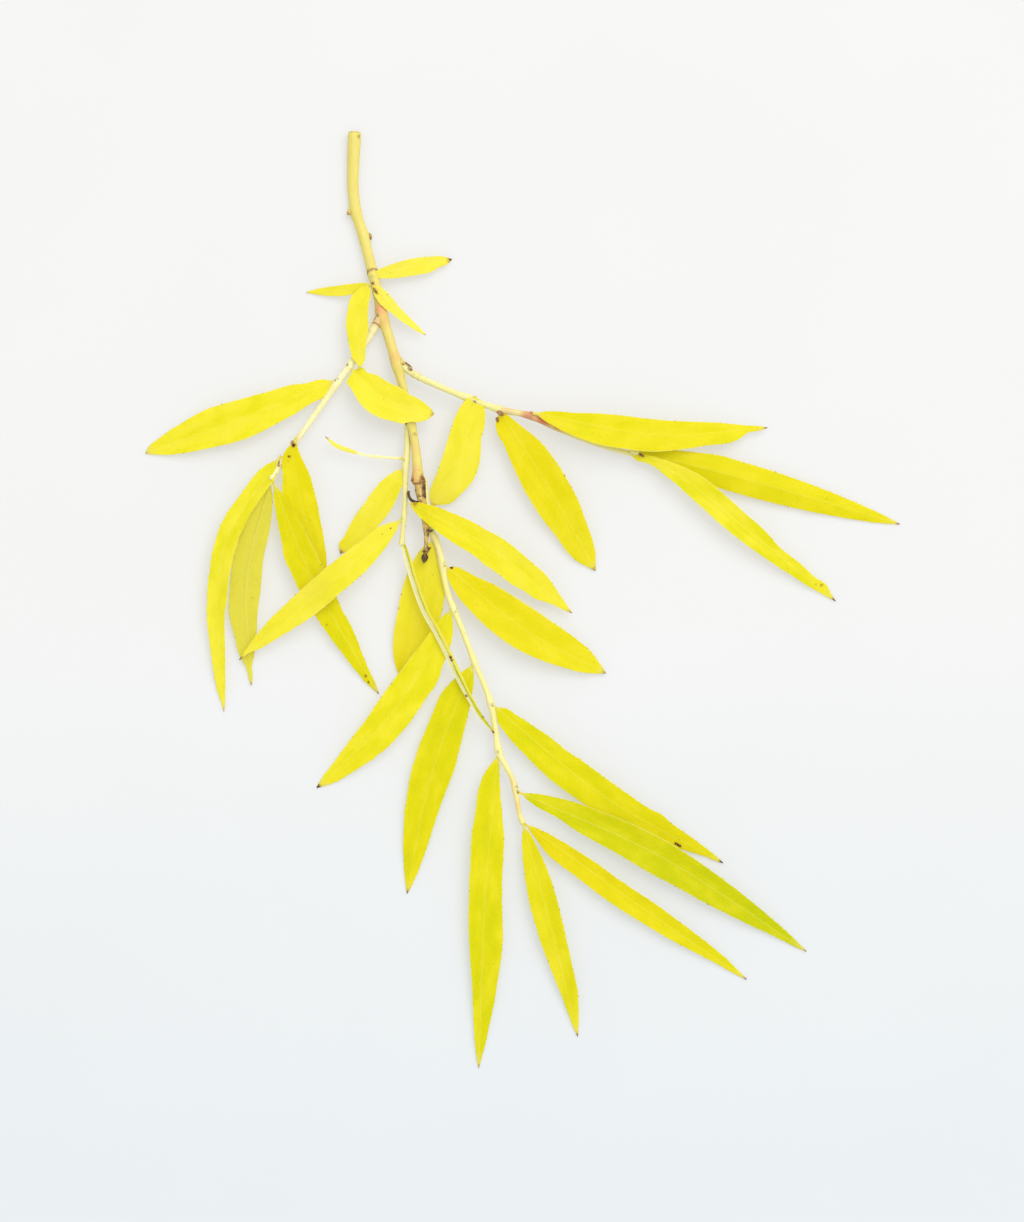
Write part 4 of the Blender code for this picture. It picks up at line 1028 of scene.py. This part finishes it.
grow_leaf(
    "leaf_lower_10", [(0.1, -80.4, 4.5), (10.4, -119, 4.4), (19.9, -157.5, TIP_ON_TABLE)],
    9.4, golden_leaf, fold=9, roll=5, tip=0.6, saw=0.24,
    young=(0, 0.3, 0.1), old=(0.2, 0.2, 0),
    rims=[(0.8, 0.18, 0.4, -0.7), (0.25, 0.15, 0.4, 0.2), (0.8, 0.12, 0.6, 0), (0.4, 0.2, 0, 0.4)],
)

# Table, light and camera: a plain white light table that glows faintly, as botanists use, under a wide soft
# light and a bright room. It is seen from straight above.
FLOOR_SIZE = 6.0
TABLE_GLOW = 0.51
ROOM_LIGHT = 1.08
LAMP_SIZE = 2.3
LAMP_WATTS = 58.0
LAMP_PLACE = (0.9, 1.5, 2.5)
CAMERA_LENS = 150.0
SENSOR = 36.0
SEEN_HEIGHT = 0.4399
SEEN_LEVEL = 0.004
SEEN_MIDDLE = (-0.00378, -0.00414)
floor_mesh = bpy.data.meshes.new("light_table")
half = FLOOR_SIZE / 2
corners = [(-half, -half, 0), (half, -half, 0), (half, half, 0), (-half, half, 0)]
floor_mesh.from_pydata(corners, [], [(0, 1, 2, 3)])
floor = bpy.data.objects.new("light_table", floor_mesh)
bpy.context.scene.collection.objects.link(floor)
# The sheet gives off a cooler light over the 200 mm in front of its middle
acrylic, tree, shader = new_surface("white_acrylic")
haze = add(tree, "TexNoise", {"Scale": 60.0, "Detail": 4.0})
shade = add(tree, "ValToRGB", [haze], stops=[(0.3, "989898"), (0.7, "9a9a9a")])
spot = add(tree, "NewGeometry")
across_table = add(tree, "SeparateXYZ", [spot.outputs["Position"]])
nearer = add(tree, "MapRange", [across_table.outputs[1], -0.2, 0.0])
glow = add(tree, "ValToRGB", [nearer], stops=[(0.0, "e3ecef"), (1.0, "f5f3ef")])
wire(shader, {"Base Color": shade, "Roughness": 0.9, "Specular IOR Level": 0.1, "Emission Color": glow,
              "Emission Strength": TABLE_GLOW})
floor_mesh.materials.append(acrylic)

world = bpy.data.worlds.new("studio")
bpy.context.scene.world = world
world.use_nodes = True
wire(world.node_tree.nodes["Background"], {"Color": "f6f9fc", "Strength": ROOM_LIGHT})
soft = bpy.data.lights.new("soft_box", "AREA")
soft.shape = "SQUARE"
soft.size = LAMP_SIZE
soft.energy = LAMP_WATTS
soft_box = bpy.data.objects.new("soft_box", soft)
soft_box.location = LAMP_PLACE
soft_box.rotation_euler = Vector(soft_box.location).to_track_quat("Z", "Y").to_euler()
bpy.context.scene.collection.objects.link(soft_box)

lens = bpy.data.cameras.new("camera")
lens.lens = CAMERA_LENS
lens.sensor_width = SENSOR
camera = bpy.data.objects.new("camera", lens)
camera.location = (*SEEN_MIDDLE, SEEN_LEVEL + SEEN_HEIGHT / SENSOR * CAMERA_LENS)
bpy.context.scene.collection.objects.link(camera)
bpy.context.scene.camera = camera
bpy.context.scene.view_settings.view_transform = "Standard"
